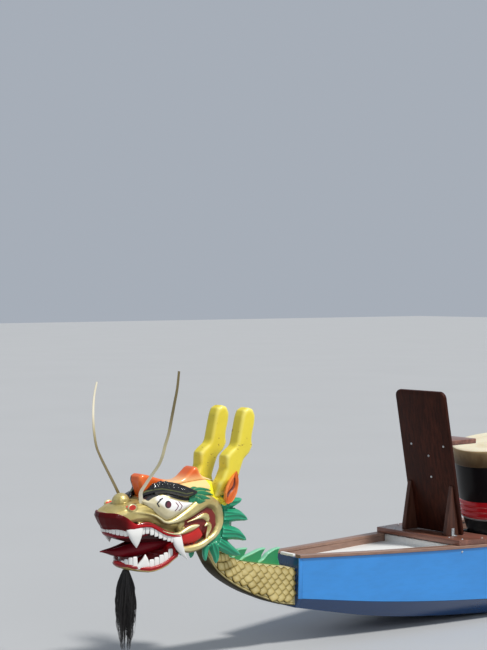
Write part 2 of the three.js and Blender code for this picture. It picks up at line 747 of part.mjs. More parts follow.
// The flame round the tail. Columns: distance aft of the stern, height
const TAIL_FINS = [
  [40, 380], [60, 432], [222, 486], [215, 440], [285, 452], [408, 523], [415, 462], [470, 490], [551, 572],
  [560, 520], [640, 560], [765, 680], [775, 610], [830, 640], [944, 766], [950, 640], [1060, 740], [1201, 888],
  [1150, 760], [1180, 770], [1323, 915], [1310, 830], [1160, 640], [1337, 705], [1220, 600], [1120, 560],
  [1216, 516], [1100, 492], [960, 480], [1037, 413], [880, 420], [780, 410], [837, 364], [700, 350], [560, 320],
  [622, 278], [480, 270], [420, 282], [300, 300],
];
const TAIL_FIN_THICK = 18;

const tailFins = () => sidePlate(TAIL_FINS.map(([aft, z]) => [-HALF_LENGTH - aft, z]), 0, TAIL_FIN_THICK);

// Head, in its own frame: x forward from the nape, z up from the top of the neck
// Columns: distance forward, half breadth, height of the underside, height of the top
const SKULL_LINES = [
  { x: -95, half: 56, low: 95, high: 262 },
  { x: -60, half: 84, low: 60, high: 326 },
  { x: 0, half: 100, low: 48, high: 366 },
  { x: 60, half: 106, low: 60, high: 381 },
  { x: 130, half: 108, low: 80, high: 378 },
  { x: 256, half: 108, low: 90, high: 368 },
  { x: 266, half: 108, low: 138, high: 367 },
  { x: 310, half: 110, low: 144, high: 361 },
  { x: 379, half: 108, low: 168, high: 340 },
  { x: 440, half: 104, low: 198, high: 314 },
  { x: 500, half: 104, low: 202, high: 312 },
  { x: 560, half: 97, low: 194, high: 302 },
  { x: 605, half: 78, low: 198, high: 284 },
  { x: 628, half: 50, low: 206, high: 272 },
];

const JAW_LINES = [
  { x: 200, half: 88, low: 44, high: 78 },
  { x: 255, half: 90, low: 38, high: 68 },
  { x: 272, half: 107, low: 30, high: 54 },
  { x: 300, half: 111, low: 18, high: 42 },
  { x: 332, half: 111, low: -2, high: 24 },
  { x: 368, half: 110, low: -13, high: 11 },
  { x: 402, half: 107, low: -20, high: 4 },
  { x: 430, half: 101, low: -21, high: 2 },
  { x: 468, half: 88, low: -15, high: 7 },
  { x: 505, half: 68, low: -6, high: 16 },
  { x: 530, half: 46, low: 4, high: 26 },
  { x: 545, half: 20, low: 12, high: 33 },
];

// Rolled rim of the jaw: where it starts, how far in it lies, and its front point
const RIM_FROM = 260;
const RIM_IN = 6;
const RIM_RADIUS = 8;
const RIM_FRONT = [552, 0, 33];

// Roof of the mouth, and the throat that closes its back
const PALATE_LINES = [
  { x: 250, half: 84, low: 104, high: 170 },
  { x: 330, half: 90, low: 106, high: 190 },
  { x: 430, half: 90, low: 112, high: 214 },
  { x: 510, half: 86, low: 122, high: 214 },
  { x: 580, half: 58, low: 146, high: 214 },
];
const THROAT_LINES = [
  { x: 190, half: 84, low: 44, high: 112 },
  { x: 290, half: 86, low: 34, high: 114 },
  { x: 306, half: 74, low: 34, high: 96 },
];

// Columns: distance forward, how far out the carving on the head's side stands
const FACE_BREADTH = [
  [-20, 108], [0, 112], [60, 120], [130, 128], [350, 130], [378, 125], [410, 117], [440, 111], [500, 108], [560, 100],
];

// Ridges carved on each side of the head. Columns: forward, height, half width seen from the side
const CHEEK_RIDGE = [
  [524, 271, 7], [440, 255, 8], [396, 238, 8], [355, 209, 9], [306, 209, 14], [256, 222, 22], [206, 242, 27],
  [155, 267, 31], [103, 282, 29], [49, 263, 27], [19, 215, 29], [19, 165, 25], [48, 122, 18], [100, 96, 17],
  [154, 76, 19], [216, 69, 19], [262, 75, 12],
];
const LIP_RIDGE = [
  [493, 211, 5], [459, 210, 5], [432, 206, 5], [409, 198, 5], [390, 184, 5], [355, 164, 5], [306, 150, 6],
  [271, 149, 8], [247, 155, 12], [221, 161, 16], [196, 167, 16], [174, 172, 12], [155, 176, 3],
];
const UPPER_CURL = [
  [230, 196, 2], [195, 203, 5], [165, 209, 8], [140, 214, 13], [117, 213, 20], [102, 203, 20], [102, 188, 12],
];
const LOWER_CURL = [
  [122, 166, 4], [104, 174, 10], [90, 170, 15], [88, 155, 18], [96, 138, 14], [105, 122, 8], [110, 106, 4],
];
const RIDGE_DEPTH = 18;
const LIP_RIDGE_DEPTH = 13;
const LIP_RIDGE_SINK = 2;
const CURL_DEPTH = 12;
const CURL_SINK = 7;
const CHEEK_SINK = 20;
const CHEEK_RISE = 12;
const EYE_SINK = 22;
const EYE_RISE = 24;

// Cushion of the cheek inside the curl, and the eye's bulge: outlines seen from the side
const INNER_CHEEK = [
  [263, 138], [230, 142], [201, 150], [175, 163], [159, 168], [148, 158], [136, 145], [126, 126], [140, 111], [175, 97],
  [210, 94], [250, 97], [264, 112],
];
const EYE = [
  [463, 312], [432, 329], [398, 338], [362, 331], [324, 318], [284, 304], [244, 293], [204, 287], [182, 284], [204, 267],
  [244, 245], [284, 229], [324, 216], [350, 213], [373, 222], [396, 240], [420, 262], [447, 287],
];
const PILLOW_ROOT = 60;
// From a swelling's edge to its top: share of its outline, share of its rise
const PILLOW_RINGS = [[1, 0], [0.9, 0.45], [0.68, 0.8], [0.36, 0.96], [0.1, 1]];

const HORN = [
  [44, 320], [41, 364], [24, 381], [-1, 430], [-1, 456], [-4, 490], [-26, 509], [-59, 530], [-69, 547], [-84, 611],
  [-99, 671], [-112, 700], [-140, 713], [-168, 704], [-183, 672], [-178, 632], [-163, 578], [-161, 549], [-168, 530],
  [-145, 492], [-111, 466], [-95, 429], [-75, 376], [-72, 330],
];
const HORN_Y = 98;
const HORN_THICK = 74;

const CREST = [
  [410, 300], [434, 366], [446, 398], [442, 418], [424, 429], [395, 423], [356, 410], [321, 399], [280, 390], [240, 384],
  [204, 384], [178, 394], [150, 416], [128, 434], [112, 440], [98, 434], [88, 412], [70, 392], [-10, 362], [-10, 340],
  [200, 330],
];
const CREST_THICK = 88;
const CARVED_EDGE = 10;

const WHISKER = [
  [464, 72, 286], [470, 80, 318], [480, 95, 357], [478, 130, 393], [478, 185, 447], [476, 225, 490], [477, 255, 533], [475, 275, 587],
  [469, 292, 639], [462, 304, 707], [451, 311, 775], [436, 311, 846], [421, 305, 918],
];

const WHISKER_SECTION = [8, 2.5];

// Columns: forward, out, height, half width across, half height
const BROW = [
  [447, 50, 310, 9, 8], [420, 56, 338, 14, 20], [378, 65, 358, 17, 29], [334, 76, 361, 18, 33], [294, 86, 357, 18, 31],
  [252, 98, 346, 18, 29], [211, 106, 335, 16, 23], [181, 112, 331, 12, 14], [166, 115, 332, 6, 6],
];
const EYELID = [
  [432, 78, 318, 8, 7], [405, 90, 336, 12, 11], [376, 98, 344, 15, 12], [340, 105, 338, 16, 13], [303, 110, 325, 16, 14],
  [266, 113, 311, 15, 13], [226, 115, 302, 13, 12], [190, 116, 299, 10, 10], [166, 116, 306, 6, 6],
];
const TONGUE = [
  [180, 0, 104, 56, 16], [270, 0, 84, 58, 17], [360, 0, 66, 56, 17], [450, 0, 74, 50, 15], [530, 0, 92, 36, 11],
  [590, 0, 96, 20, 7], [636, 0, 91, 6, 3],
];
const LIP = [
  [637, 0, 230, 12, 43], [622, 50, 231, 12, 43], [600, 77, 231, 12, 41], [573, 93, 221, 12, 35], [541, 102, 206, 12, 26],
  [508, 108, 203, 11, 11], [480, 111, 204, 10, 7], [432, 113, 199, 9, 7], [409, 114, 188, 9, 7], [382, 116, 172, 9, 7],
  [350, 118, 154, 9, 7], [310, 119, 143, 9, 6], [270, 121, 137, 8, 5],
];
const BEARD = [
  [494, 0, 0, 9, 9], [495, 0, -80, 38, 36], [500, 0, -180, 52, 51], [502, 0, -290, 38, 34], [496, 0, -392, 9, 9],
];
const NOSE = { at: [522, 0, 306], radii: [43, 43, 43] };
const NOSTRIL = { at: [524, 92, 291], radii: [27, 13, 18] };
const EAR = { at: [-16, 145, 344], radii: [30, 16, 79], lean: -0.48 };

// Teeth. Columns: forward, out, height of the root, height of the tip, half width,
// share of the width left at the tip, and how far aft the tip lies
const UPPER_TEETH = [
  [626, 12, 194, 176, 10, 0.8, 0], [622, 31, 194, 172, 10, 0.8, 0], [618, 49, 194, 168, 10, 0.8, 0],
  [607, 66, 194, 167, 10, 0.8, 0], [593, 80, 193, 167, 11, 0.8, 0], [574, 92, 192, 165, 11, 0.8, 0],
  [523, 106, 197, 110, 37, 0.12, 8], [467, 109, 200, 157, 12, 0.85, 0], [440, 110, 197, 160, 12, 0.85, 0],
  [411, 111, 182, 146, 14, 0.85, 0], [381, 112, 166, 134, 14, 0.85, 0], [350, 113, 151, 122, 14, 0.85, 0],
  [319, 114, 143, 112, 14, 0.85, 0], [285, 118, 141, 30, 23, 0.16, 46],
];
const LOWER_TEETH = [
  [540, 12, 36, 50, 10, 0.8, 0], [536, 33, 32, 50, 10, 0.8, 0], [527, 50, 26, 54, 11, 0.75, 0],
  [514, 63, 20, 57, 12, 0.7, 0], [495, 76, 14, 58, 13, 0.65, 0], [453, 90, 9, 70, 27, 0.12, 0],
  [409, 99, 8, 42, 13, 0.8, 0], [382, 101, 12, 50, 14, 0.75, 0], [351, 102, 21, 60, 15, 0.7, 0],
  [317, 102, 36, 76, 19, 0.6, 0],
];
const TOOTH_THICK = 9;
const BLOCK_RINGS = [0, 1];
const FANG_RINGS = [0, 0.5, 1];
const FANG_TIP = 0.5;
// Columns: distance forward, half length and underside of the bar
const UPPER_BAR = [590, 78, 184];
const LOWER_BAR = [488, 66, 16];
const GUM_BAR = 12;
// How far in and up from the teeth's roots the gum lies
const UPPER_GUM = [6, -13];
const LOWER_GUM = [9, 3];
const GUM_STEPS = 16;
const TOOTH_TAPER = 1.3;

// Locks of the mane on one side. Columns: root forward, root height, tip forward, tip height, half width
const MANE_LOCKS = [
  [10, 268, -120, 254, 34], [0, 205, -160, 188, 40], [10, 126, -154, 92, 40], [30, 82, -104, -10, 36],
  [54, 78, 26, -18, 28], [90, 70, 110, 0, 19], [126, 64, 148, 34, 14], [0, 240, -72, 316, 18],
];
const MANE_Y = 88;
// Along a lock from root to tip: share of its length, share of its fall, how far out, thickness and width
const LOCK_RINGS = [[0, 0, 0, 0.8, 1], [0.5, 0.42, 4, 0.7, 0.85], [0.85, 0.82, 6, 0.5, 0.5], [1, 1, 7, 0.09, 0.09]];
const MANE_PLATE = [
  [52, 60], [104, 62], [60, 110], [34, 160], [34, 230], [46, 290], [-8, 296], [-40, 262], [-50, 190], [-44, 110], [0, 56],
];

const MANE_SINK = 4;
const MANE_THICK = 38;
const MANE_EDGE = 8;
const NAPE = [[-112, 0, 190, 10, 26], [-104, 50, 190, 12, 26], [-66, 88, 190, 14, 26]];

const mirrored = (geometry) => bare(geometry.clone().scale(1, -1, 1));
const bothSides = (rows) => [...rows.slice(1).reverse(), ...rows.map(([x, y, ...rest]) => [x, -y, ...rest])];

// A value read from rows of [distance, value], straight between them
function readAlong(rows, at) {
  const next = rows.findIndex(([x]) => x >= at);
  if (next === 0) return rows[0][1];
  if (next < 0) return rows[rows.length - 1][1];
  const [[x0, v0], [x1, v1]] = [rows[next - 1], rows[next]];
  return lerp(v0, v1, (at - x0) / (x1 - x0));
}
const faceY = (x) => readAlong(FACE_BREADTH, x);

function roundBody(lines, sides, roundness) {
  return loft(lines.map(({ x, half, low, high }) => ringOf(sides, roundness)
    .map(([u, v]) => point(x, u * half, (low + high) / 2 + (v * (high - low)) / 2))));
}

function ellipsoid({ at, radii, lean = 0 }) {
  const ball = new THREE.SphereGeometry(1, 14, 8).rotateX(Math.PI / 2);
  return bare(ball.scale(...radii).rotateY(lean).translate(...at));
}

// A rod through rows of [x, y, z, half width, half height]
function strip(rows, { steps = 16, sides = 8, roundness = 1 } = {}) {
  const sizeAt = (t) => {
    const at = t * (rows.length - 1);
    const before = Math.min(Math.floor(at), rows.length - 2);
    return [3, 4].map((column) => lerp(rows[before][column], rows[before + 1][column], at - before));
  };
  const path = new THREE.CatmullRomCurve3(rows.map(([x, y, z]) => point(x, y, z)), false, "centripetal");
  return rod(path, (t) => path.getPoint(t), sizeAt, steps, ringOf(sides, roundness));
}

// A ridge on the side of the head through rows of [x, z, half width]
function ridge(rows, { steps = 18, sides = 8, deep = RIDGE_DEPTH, sink = 0 } = {}) {
  const path = new THREE.CatmullRomCurve3(rows.map(([x, z, half]) => point(x, half, z)), false, "centripetal");
  return loft(evenly(0, 1, steps).map((t) => {
    const at = path.getPoint(t);
    const along = path.getTangent(t).setY(0).normalize();
    const centre = point(at.x, faceY(at.x) - deep - sink, at.z);
    return ringOf(sides).map(([u, v]) => centre.clone()
      .addScaledVector(point(-along.z, 0, along.x), u * at.y)
      .add(point(0, v * deep, 0)));
  }));
}

// A rounded swelling over an outline of [x, z] pairs on the side of the head
function pillow(outline, sink, rise) {
  const middle = [0, 1].map((axis) => outline.reduce((sum, p) => sum + p[axis], 0) / outline.length);
  const ring = (share, height) => outline.map(([x, z]) => {
    const [px, pz] = [lerp(middle[0], x, share), lerp(middle[1], z, share)];
    return point(px, height === null ? PILLOW_ROOT : faceY(px) - sink + rise * height, pz);
  });
  return loft([ring(1, null), ...PILLOW_RINGS.map(([share, height]) => ring(share, height))]);
}

function skull() {
  const carving = [
    ridge(CHEEK_RIDGE, { steps: 34 }),
    ridge(LIP_RIDGE, { steps: 18, deep: LIP_RIDGE_DEPTH, sink: LIP_RIDGE_SINK }),
    ridge(UPPER_CURL, { steps: 10, sides: 6, deep: CURL_DEPTH, sink: CURL_SINK }),
    ridge(LOWER_CURL, { steps: 10, sides: 6, deep: CURL_DEPTH, sink: CURL_SINK }),
    pillow(INNER_CHEEK, CHEEK_SINK, CHEEK_RISE),
    ellipsoid(NOSTRIL),
  ];
  const body = join(roundBody(SKULL_LINES, 18, 0.72), roundBody(PALATE_LINES, 8, 0.7));
  return join(body, ...carving, ...carving.map(mirrored), ellipsoid(NOSE));
}

function jaw(skullBody) {
  const rim = JAW_LINES.filter(({ x }) => x > RIM_FROM).reverse()
    .map(({ x, half, high }) => [x, half - RIM_IN, high, RIM_RADIUS, RIM_RADIUS]);
  const lip = strip(bothSides([[...RIM_FRONT, RIM_RADIUS, RIM_RADIUS], ...rim]), { steps: 30, sides: 6 });
  const blank = join(roundBody(JAW_LINES, 14, 0.7), roundBody(THROAT_LINES, 8, 0.7), lip);
  return seated(cut(blank, skullBody), skullBody);
}

// One tooth, turned to the row that it stands in
function tooth([x, y, root, tip, half, tipShare, aft], turn) {
  return loft((tipShare < FANG_TIP ? FANG_RINGS : BLOCK_RINGS).map((t) => {
    const share = lerp(1, tipShare, t ** TOOTH_TAPER);
    return ringOf(6, 0.7).map(([u, v]) => point(u * half * share, v * TOOTH_THICK * share, 0)
      .applyAxisAngle(point(0, 0, 1), turn)
      .add(point(x - aft * t * t, y, lerp(root, tip, t))));
  }));
}

// The teeth of one jaw, front to back, joined by the gum and by a bar behind the front teeth
function teeth(rows, [gumIn, gumUp], [barX, barHalf, barZ]) {
  const line = rows.map(([x, y, root]) => [x, y - gumIn, root + gumUp, GUM_BAR / 2, GUM_BAR / 2]);
  const gum = strip(bothSides(line), { steps: GUM_STEPS, sides: 4 });
  const bar = box(barX, barX + GUM_BAR, -barHalf, barHalf, barZ, barZ + GUM_BAR);
  const solids = rows.flatMap((row, i) => {
    const [before, after] = [rows[Math.max(0, i - 1)], rows[Math.min(rows.length - 1, i + 1)]];
    const solid = tooth(row, Math.atan2(after[1] - before[1], after[0] - before[0]));
    return [solid, mirrored(solid)];
  });
  return join(gum, bar, ...solids);
}

function mane() {
  const locks = MANE_LOCKS.map(([x0, z0, x1, z1, half]) => strip(LOCK_RINGS.map(([along, fall, out, thick, wide]) => [
    lerp(x0, x1, along), MANE_Y + out, lerp(z0, z1, fall), half * thick, half * wide,
  ]), { steps: 4, sides: 6 }));
  const plate = sidePlate(MANE_PLATE, MANE_Y - MANE_SINK, MANE_THICK, { bevel: MANE_EDGE });
  const nape = strip(bothSides(NAPE), { steps: 6, sides: 6 });
  return join(plate, mirrored(plate), ...locks, ...locks.map(mirrored), nape);
}

const whisker = (rows) => sweep(rows.map(([x, y, z]) => point(x, y, z)), () => WHISKER_SECTION, { steps: 22, sides: 4 });

function headPieces() {
  const skullBody = skull();
  const jawBody = jaw(skullBody);
  const lip = seated(strip(bothSides(LIP), { steps: 38, sides: 8 }), skullBody);
  const upper = seated(teeth(UPPER_TEETH, UPPER_GUM, UPPER_BAR), skullBody, lip, jawBody);
  const lower = seated(teeth(LOWER_TEETH, LOWER_GUM, LOWER_BAR), jawBody);
  const tongue = seated(strip(TONGUE, { steps: 12 }), skullBody, jawBody, lower, upper);
  const eye = seated(cut(pillow(EYE, EYE_SINK, EYE_RISE), skullBody), skullBody);
  const crest = seated(sidePlate(CREST, 0, CREST_THICK, { bevel: CARVED_EDGE }), skullBody);
  const browBlank = join(strip(BROW, { steps: 12 }), strip(EYELID, { steps: 12, sides: 6 }));
  const brow = seated(cut(browBlank, eye), skullBody, eye, crest);
  const horn = seated(sidePlate(HORN, HORN_Y, HORN_THICK, { bevel: CARVED_EDGE }), skullBody, crest);
  const ear = seated(ellipsoid(EAR), skullBody, horn);
  const maneBody = seated(cut(mane(), skullBody), skullBody, horn, mirrored(horn), ear, mirrored(ear));
  const beard = seated(strip(BEARD, { steps: 12 }), jawBody);
  return {
    single: [
      ["skull", skullBody, "gold"], ["jaw_lower", jawBody, "gold"], ["lip_upper", lip, "crimson"],
      ["teeth_upper", upper, "ivory"], ["teeth_lower", lower, "ivory"], ["tongue", tongue, "crimson"],
      ["crest", crest, "orange"], ["mane", maneBody, "green"], ["beard", beard, "hair"],
      ["whisker_port", seated(whisker(WHISKER), skullBody, brow), "gold"],
      ["whisker_starboard", seated(mirrored(whisker(WHISKER.slice(0, -1))), skullBody, mirrored(brow)), "gold"],
    ],
    paired: [["eye", eye, "ivory"], ["brow", brow, "black"], ["horn", horn, "yellow"], ["ear", ear, "orange"]],
  };
}

const group = new THREE.Group();

function assembly(parent = group, x = 0, y = 0, z = 0) {
  const part = new THREE.Group();
  part.position.set(x, y, z);
  parent.add(part);
  return part;
}

function add(parent, name, geometry, look) {
  const material = new THREE.MeshStandardMaterial({ ...finish[look], flatShading: true });
  const mesh = new THREE.Mesh(geometry, material);
  mesh.name = name;
  parent.add(mesh);
  return mesh;
}

const sides = [["port", 1], ["starboard", -1]];

const hull = assembly();
for (const [name, side] of sides) {
  add(hull, `side_plank_${name}`, strake(0, side), "blue");
  add(hull, `bilge_plank_${name}`, strake(1, side), "navy");
  add(hull, `gunwale_cap_${name}`, gunwaleCap(side), "teak");
  add(hull, `inwale_${name}`, inwale(side), "teak");
  add(hull, `seat_riser_${name}`, riser(side), "white");
}
add(hull, "bottom_plank", bottomPlank(), "navy");
add(hull, "keelson_ribs", ribs(), "white");
add(hull, "bow_transom", transom(1), "navy");
add(hull, "stern_transom", transom(-1), "navy");
add(hull, "bow_deck", deck(1), "white");
add(hull, "stern_deck", deck(-1), "white");
for (let i = 0; i < BENCH_COUNT; i += 1) {
  const x = (i - (BENCH_COUNT - 1) / 2) * BENCH_PITCH;
  const [aft, fore] = [x - BENCH_WIDE / 2, x + BENCH_WIDE / 2];
  add(hull, `bench_${i + 1}`, thwart(aft, fore, restZ(aft, fore), BENCH_THICK), "varnish");
}

const seat = assembly();
add(seat, "seat_base", seatBase(), "varnish");
add(seat, "back_board", backBoard(), "varnish");
for (const [name, side] of sides) add(seat, `gusset_${name}`, gusset(side), "varnish");
add(seat, "seat_plank", perch(), "varnish");

const drum = assembly(group, DRUM_X, 0, DRUM_Z);
drum.rotation.y = DRUM_TILT;
add(drum, "drum_shell", drumShell(), "black");
add(drum, "drum_head", drumHead(), "hide");
add(group, "drum_stand", drumStand(), "black");

add(group, "steering_beam", steeringBeam(), "teak");
const fork = assembly(group, STEER_X, STEER_Y, forkZ);
add(fork, "rowlock", rowlock(), "steel");
const oar = assembly(group, STEER_X, STEER_Y, oarZ);
add(oar, "oar_collar", oarCollar(), "steel");
add(oar, "steering_oar", steeringOar(), "pine");

const head = assembly(group, HEAD_X, 0, HEAD_Z);
const pieces = headPieces();
for (const [name, geometry, look] of pieces.single) add(head, name, geometry, look);
for (const [name, geometry, look] of pieces.paired) {
  add(head, `${name}_port`, geometry, look);
  add(head, `${name}_starboard`, mirrored(geometry), look);
}
const skullPlaced = pieces.single[0][1].clone().translate(HEAD_X, 0, HEAD_Z);
const neckBody = seated(neck(), skullPlaced);
add(group, "neck", neckBody, "gold");
add(group, "neck_fins", neckFins(), "green");
const tailBody = tail();
add(group, "tail", tailBody, "gold");
add(group, "tail_fins", seated(cut(tailFins(), tailBody), tailBody), "green");

export default group;
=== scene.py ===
"""Dragon boat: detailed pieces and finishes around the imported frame."""

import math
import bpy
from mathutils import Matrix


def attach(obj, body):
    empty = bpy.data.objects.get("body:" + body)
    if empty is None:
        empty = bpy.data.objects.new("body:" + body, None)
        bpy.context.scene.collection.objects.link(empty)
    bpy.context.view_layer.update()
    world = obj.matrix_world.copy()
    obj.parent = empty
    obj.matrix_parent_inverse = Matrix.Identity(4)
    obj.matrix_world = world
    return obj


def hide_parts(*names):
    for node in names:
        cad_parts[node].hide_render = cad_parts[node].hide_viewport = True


bl_info = {
    "name": "Dragon Boat Builder",
    "version": (1, 0, 0),
    "blender": (4, 5, 0),
    "location": "View3D > Sidebar > Dragon Boat",
    "description": "Builds the dragon boat's hull, fittings, carved head and tail, and its stage",
    "category": "Object",
}

import bmesh
import bpy
import numpy as np
from bpy.props import FloatProperty, FloatVectorProperty, IntProperty, PointerProperty
from mathutils import Matrix, Vector, noise
from mathutils.bvhtree import BVHTree

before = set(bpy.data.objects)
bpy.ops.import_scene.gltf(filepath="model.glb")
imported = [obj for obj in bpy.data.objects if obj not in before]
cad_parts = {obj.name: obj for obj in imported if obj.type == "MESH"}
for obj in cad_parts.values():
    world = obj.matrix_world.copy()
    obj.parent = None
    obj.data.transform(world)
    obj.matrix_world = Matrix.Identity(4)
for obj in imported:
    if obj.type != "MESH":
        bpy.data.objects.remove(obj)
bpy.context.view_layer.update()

MM = 0.001
ROOT = "root"
# Both sides of the boat: the word in a piece's name, and its sign along Y
SIDES = (("port", 1), ("starboard", -1))

# Hull lines in millimetres, the same fore and aft. Columns: distance from amidships, half breadth
# and height of the gunwale, of the chine and of the flat bottom
HULL_LINES = np.array([
    [0, 560, 357, 540, -2, 400, -107],
    [1000, 556, 358, 536, 2, 396, -103],
    [2000, 540, 361, 520, 14, 382, -90],
    [3000, 501, 368, 483, 38, 350, -63],
    [4000, 428, 383, 412, 78, 292, -18],
    [4800, 309, 404, 298, 128, 206, 34],
    [5300, 209, 420, 202, 172, 140, 88],
    [5800, 97, 440, 92, 237, 66, 188],
]) * MM

# Hull timbers in metres, and how many stations a long one is drawn through
HALF_LENGTH = 5.8
TRANSOM_THICK = 0.02
STRAKE = 0.02
HULL_STATIONS = 150
SEAT_GAP = 0.0003

# Gunwale cap: breadth amidships and at its ends, where it draws in, thickness, overhang, eased edge
CAP_WIDTH, CAP_END = 0.055, 0.038
CAP_TAPER = (4.8, 5.7)
CAP_THICK, CAP_PROUD, CAP_EASE = 0.016, 0.008, 0.002

# Inwale: thickness, depth, eased edge, and its gaps to the cap and to the transoms
INWALE_THICK, INWALE_DEEP, INWALE_EASE = 0.018, 0.042, 0.0012
INWALE_TOP_GAP, INWALE_END_GAP = 0.0001, 0.002

# Hull's ends: radius of the corner beads and build-up of the decks in millimetres, the chine's height,
# and how far sideways a face points that is an edge of a transom
BEAD_RADIUS = 4.5
DECK_CROWN = 12
CHINE_AT_END = 0.237
SIDEWAYS = 0.5

# White blocks, by lowest and highest corner: between the rails on the bow transom, and under the seat
WHITE_BLOCKS = {
    "transom_strip": ((5.7815, -0.0485, 0.4402), (5.7985, 0.0485, 0.4545)),
    "seat_bearer": ((4.802, -0.262, 0.364), (4.824, 0.262, 0.4137)),
}

# How far the edges of joinery and castings are rounded over, in metres
BLOCK_ROUND, WHITE_ROUND, TRANSOM_ROUND, BENCH_ROUND = 0.003, 0.002, 0.001, 0.005
CRADLE_ROUND, FORK_ROUND, COLLAR_ROUND = 0.003, 0.002, 0.0015

# Drummer's seat, in metres. Bolts on the leaning board: across, up. Bolts on the base: forward, out
BOARD_BOLTS = [(-0.105, 0.927), (0.13, 0.929), (0.0125, 0.869), (0.0125, 0.752)]
BASE_BOLTS = [(4.796, 0.284), (4.664, 0.308), (4.6, 0.3), (4.805, 0.2)]
GUSSET_FACE = 0.1642
# The bolt through each side plank under the seat, forward and up
SIDE_BOLT = (4.82, 0.388)

# Steel bracket on each gusset: its place forward and up, how far its legs reach out and up, its
# thickness and half length, and how far up and out its bolts are, and their size beside the others
BRACKET_AT = (4.736, 0.4478)
BRACKET_OUT, BRACKET_UP = 0.024, 0.04
BRACKET_THICK, BRACKET_HALF = 0.0025, 0.011
BRACKET_BOLT_UP, BRACKET_BOLT_OUT, BRACKET_BOLT_SHARE = 0.028, 0.014, 0.75

# A bolt head on its washer, one unit in radius. Columns: radius, height. The way its front points
BOLT_PROFILE = [(1, -0.4), (1, 0.12), (0.95, 0.2), (0.66, 0.22), (0.62, 0.45), (0.45, 0.66), (0.2, 0.76)]
BOLT_SIDES = 14
BOLT_FRONT = (0.3, 0.2, 0.9)
# Places clear of the boat, from which bolts are dropped on to it: to the side, ahead and above
CLEAR_OUT, CLEAR_AHEAD, CLEAR_ABOVE = 2, 6, 1

# Drum, in millimetres in its own tilted frame. Columns: radius, height
DRUM_PLACE = Vector((4.11, 0, 0.425))
DRUM_TILT = math.radians(9)
DRUM_SEGMENTS = 144
DRUM_SKIN = [
    (0, 497.5), (120, 497.2), (205, 496.5), (228, 495.5), (240, 493.5), (247, 489.5), (250.5, 484),
    (252.2, 476), (252.6, 462), (251.6, 440), (250.6, 424), (250.2, 412), (250.4, 404), (249.6, 398.5),
    (247.5, 396.2), (243, 396), (240, 400), (236, 480), (0, 484),
]
DRUM_SHELL = [
    (0, 2), (206, 2), (212, 4), (216, 9), (222, 40), (228.5, 80), (229.5, 83), (236, 84.5), (239, 87),
    (240, 91), (239.5, 95), (240.5, 97), (243, 101), (246.5, 106), (248, 112), (246.5, 118), (243, 123),
    (241.5, 126.5), (243, 130), (246.8, 135), (248.6, 142), (247, 149), (243.5, 153.5), (242, 157),
    (243.5, 160.5), (247, 165), (248.8, 172), (247, 179), (243.5, 184), (242.6, 189), (243.2, 193.5),
    (244, 196), (244.6, 260), (245, 330), (244.6, 388), (243.6, 394.5), (238, 395.6), (0, 395.6),
]
# Heights at which the shell's paint changes, and its paints from the top down
DRUM_BANDS = (83.5, 95.5, 193.5)
DRUM_PAINTS = ["drum_black", "drum_red", "drum_grey", "drum_black"]
# The hide is stained below this height and outside this radius, and painted darker downward from this height
# as painted shade
DRUM_HIDE_TOP, DRUM_HIDE_INSIDE = 488, 244
DRUM_SHADE_FROM = 445

# Head, in millimetres from its own origin: forward from the nape, out from the middle, up from the neck
HEAD_PLACE = Vector((6.3, 0, 0.5))
FACE_BREADTH = [
    (-20, 108), (0, 112), (60, 120), (130, 128), (350, 130), (378, 125), (410, 117), (440, 111), (500, 108),
    (560, 100),
]

# Carved pieces of the head. Columns: piece, finish, slot, cell of its skin in millimetres, smoothing
CARVINGS = {
    "skull": ("head_carving", "carved_gold", "gold_paint", 3.4, 6),
    "jaw_lower": ("lower_jaw", "jaw_gold", "gold_paint", 2.6, 5),
    "lip_upper": ("upper_lip", "lip_crimson", "crimson_paint", 2.6, 4),
    "crest": ("crest_carving", "crest_orange", "orange_paint", 3, 26),
    "mane": ("mane_carving", "mane_green", "green_paint", 2.8, 5),
    "eye": ("eye_carving", "eye_paint", "ivory_paint", 2.2, 8),
    "brow": ("brow_carving", "brow_black", "black_paint", 2, 6),
    "horn": ("horn_carving", "horn_yellow", "yellow_paint", 3.5, 26),
}
# The same two for the fins and for the oar
FIN_SKIN, OAR_SKIN = (2.4, 5), (6, 3)

# Eye: its white, the iris and the dark ring round it, painted strokes and where the painted shade on its grey
# lower part begins
WHITE_OF_EYE = [
    (390, 336), (362, 330), (324, 318), (284, 304), (244, 293), (204, 287), (183, 284), (212, 276),
    (235, 271), (268, 265), (300, 263), (332, 269), (360, 284), (384, 300), (400, 320),
]
IRIS, IRIS_RADIUS = (344, 291), 13.5
IRIS_RING, IRIS_RING_RADIUS = (347.5, 292), 17.5
EYE_STROKES_BLACK = [[(382, 318), (395, 306), (402, 299), (397, 292), (393, 285)], [(372, 322), (386, 317)]]
EYE_STROKES_PURPLE = [
    [(300, 296), (288, 281), (296, 268), (308, 259)], [(278, 296), (266, 277), (272, 266), (284, 258)],
]
BLACK_STROKE_HALF, PURPLE_STROKE_HALF = 3, 2.6
LOWER_EYE_TOP = 265
# The black lid drawn over the eye, which also paints the brow's shadow there, half its width, how plainly
# sideways a face that takes it turns, and how sharply it ends there
LID_LINE = [
    (440, 322), (424, 331), (405, 338), (376, 344), (340, 338), (303, 325), (266, 312), (226, 303),
    (192, 300),
]
LID_HALF = 8
LID_FACING, LID_SHARP = 0.2, 60
# How plainly down the roof faces and up the jaw's wall where the mouth's dark starts, and how sharply
ROOF_FACING, WALL_FACING, DARK_SHARP = 0.45, 0.05, 30

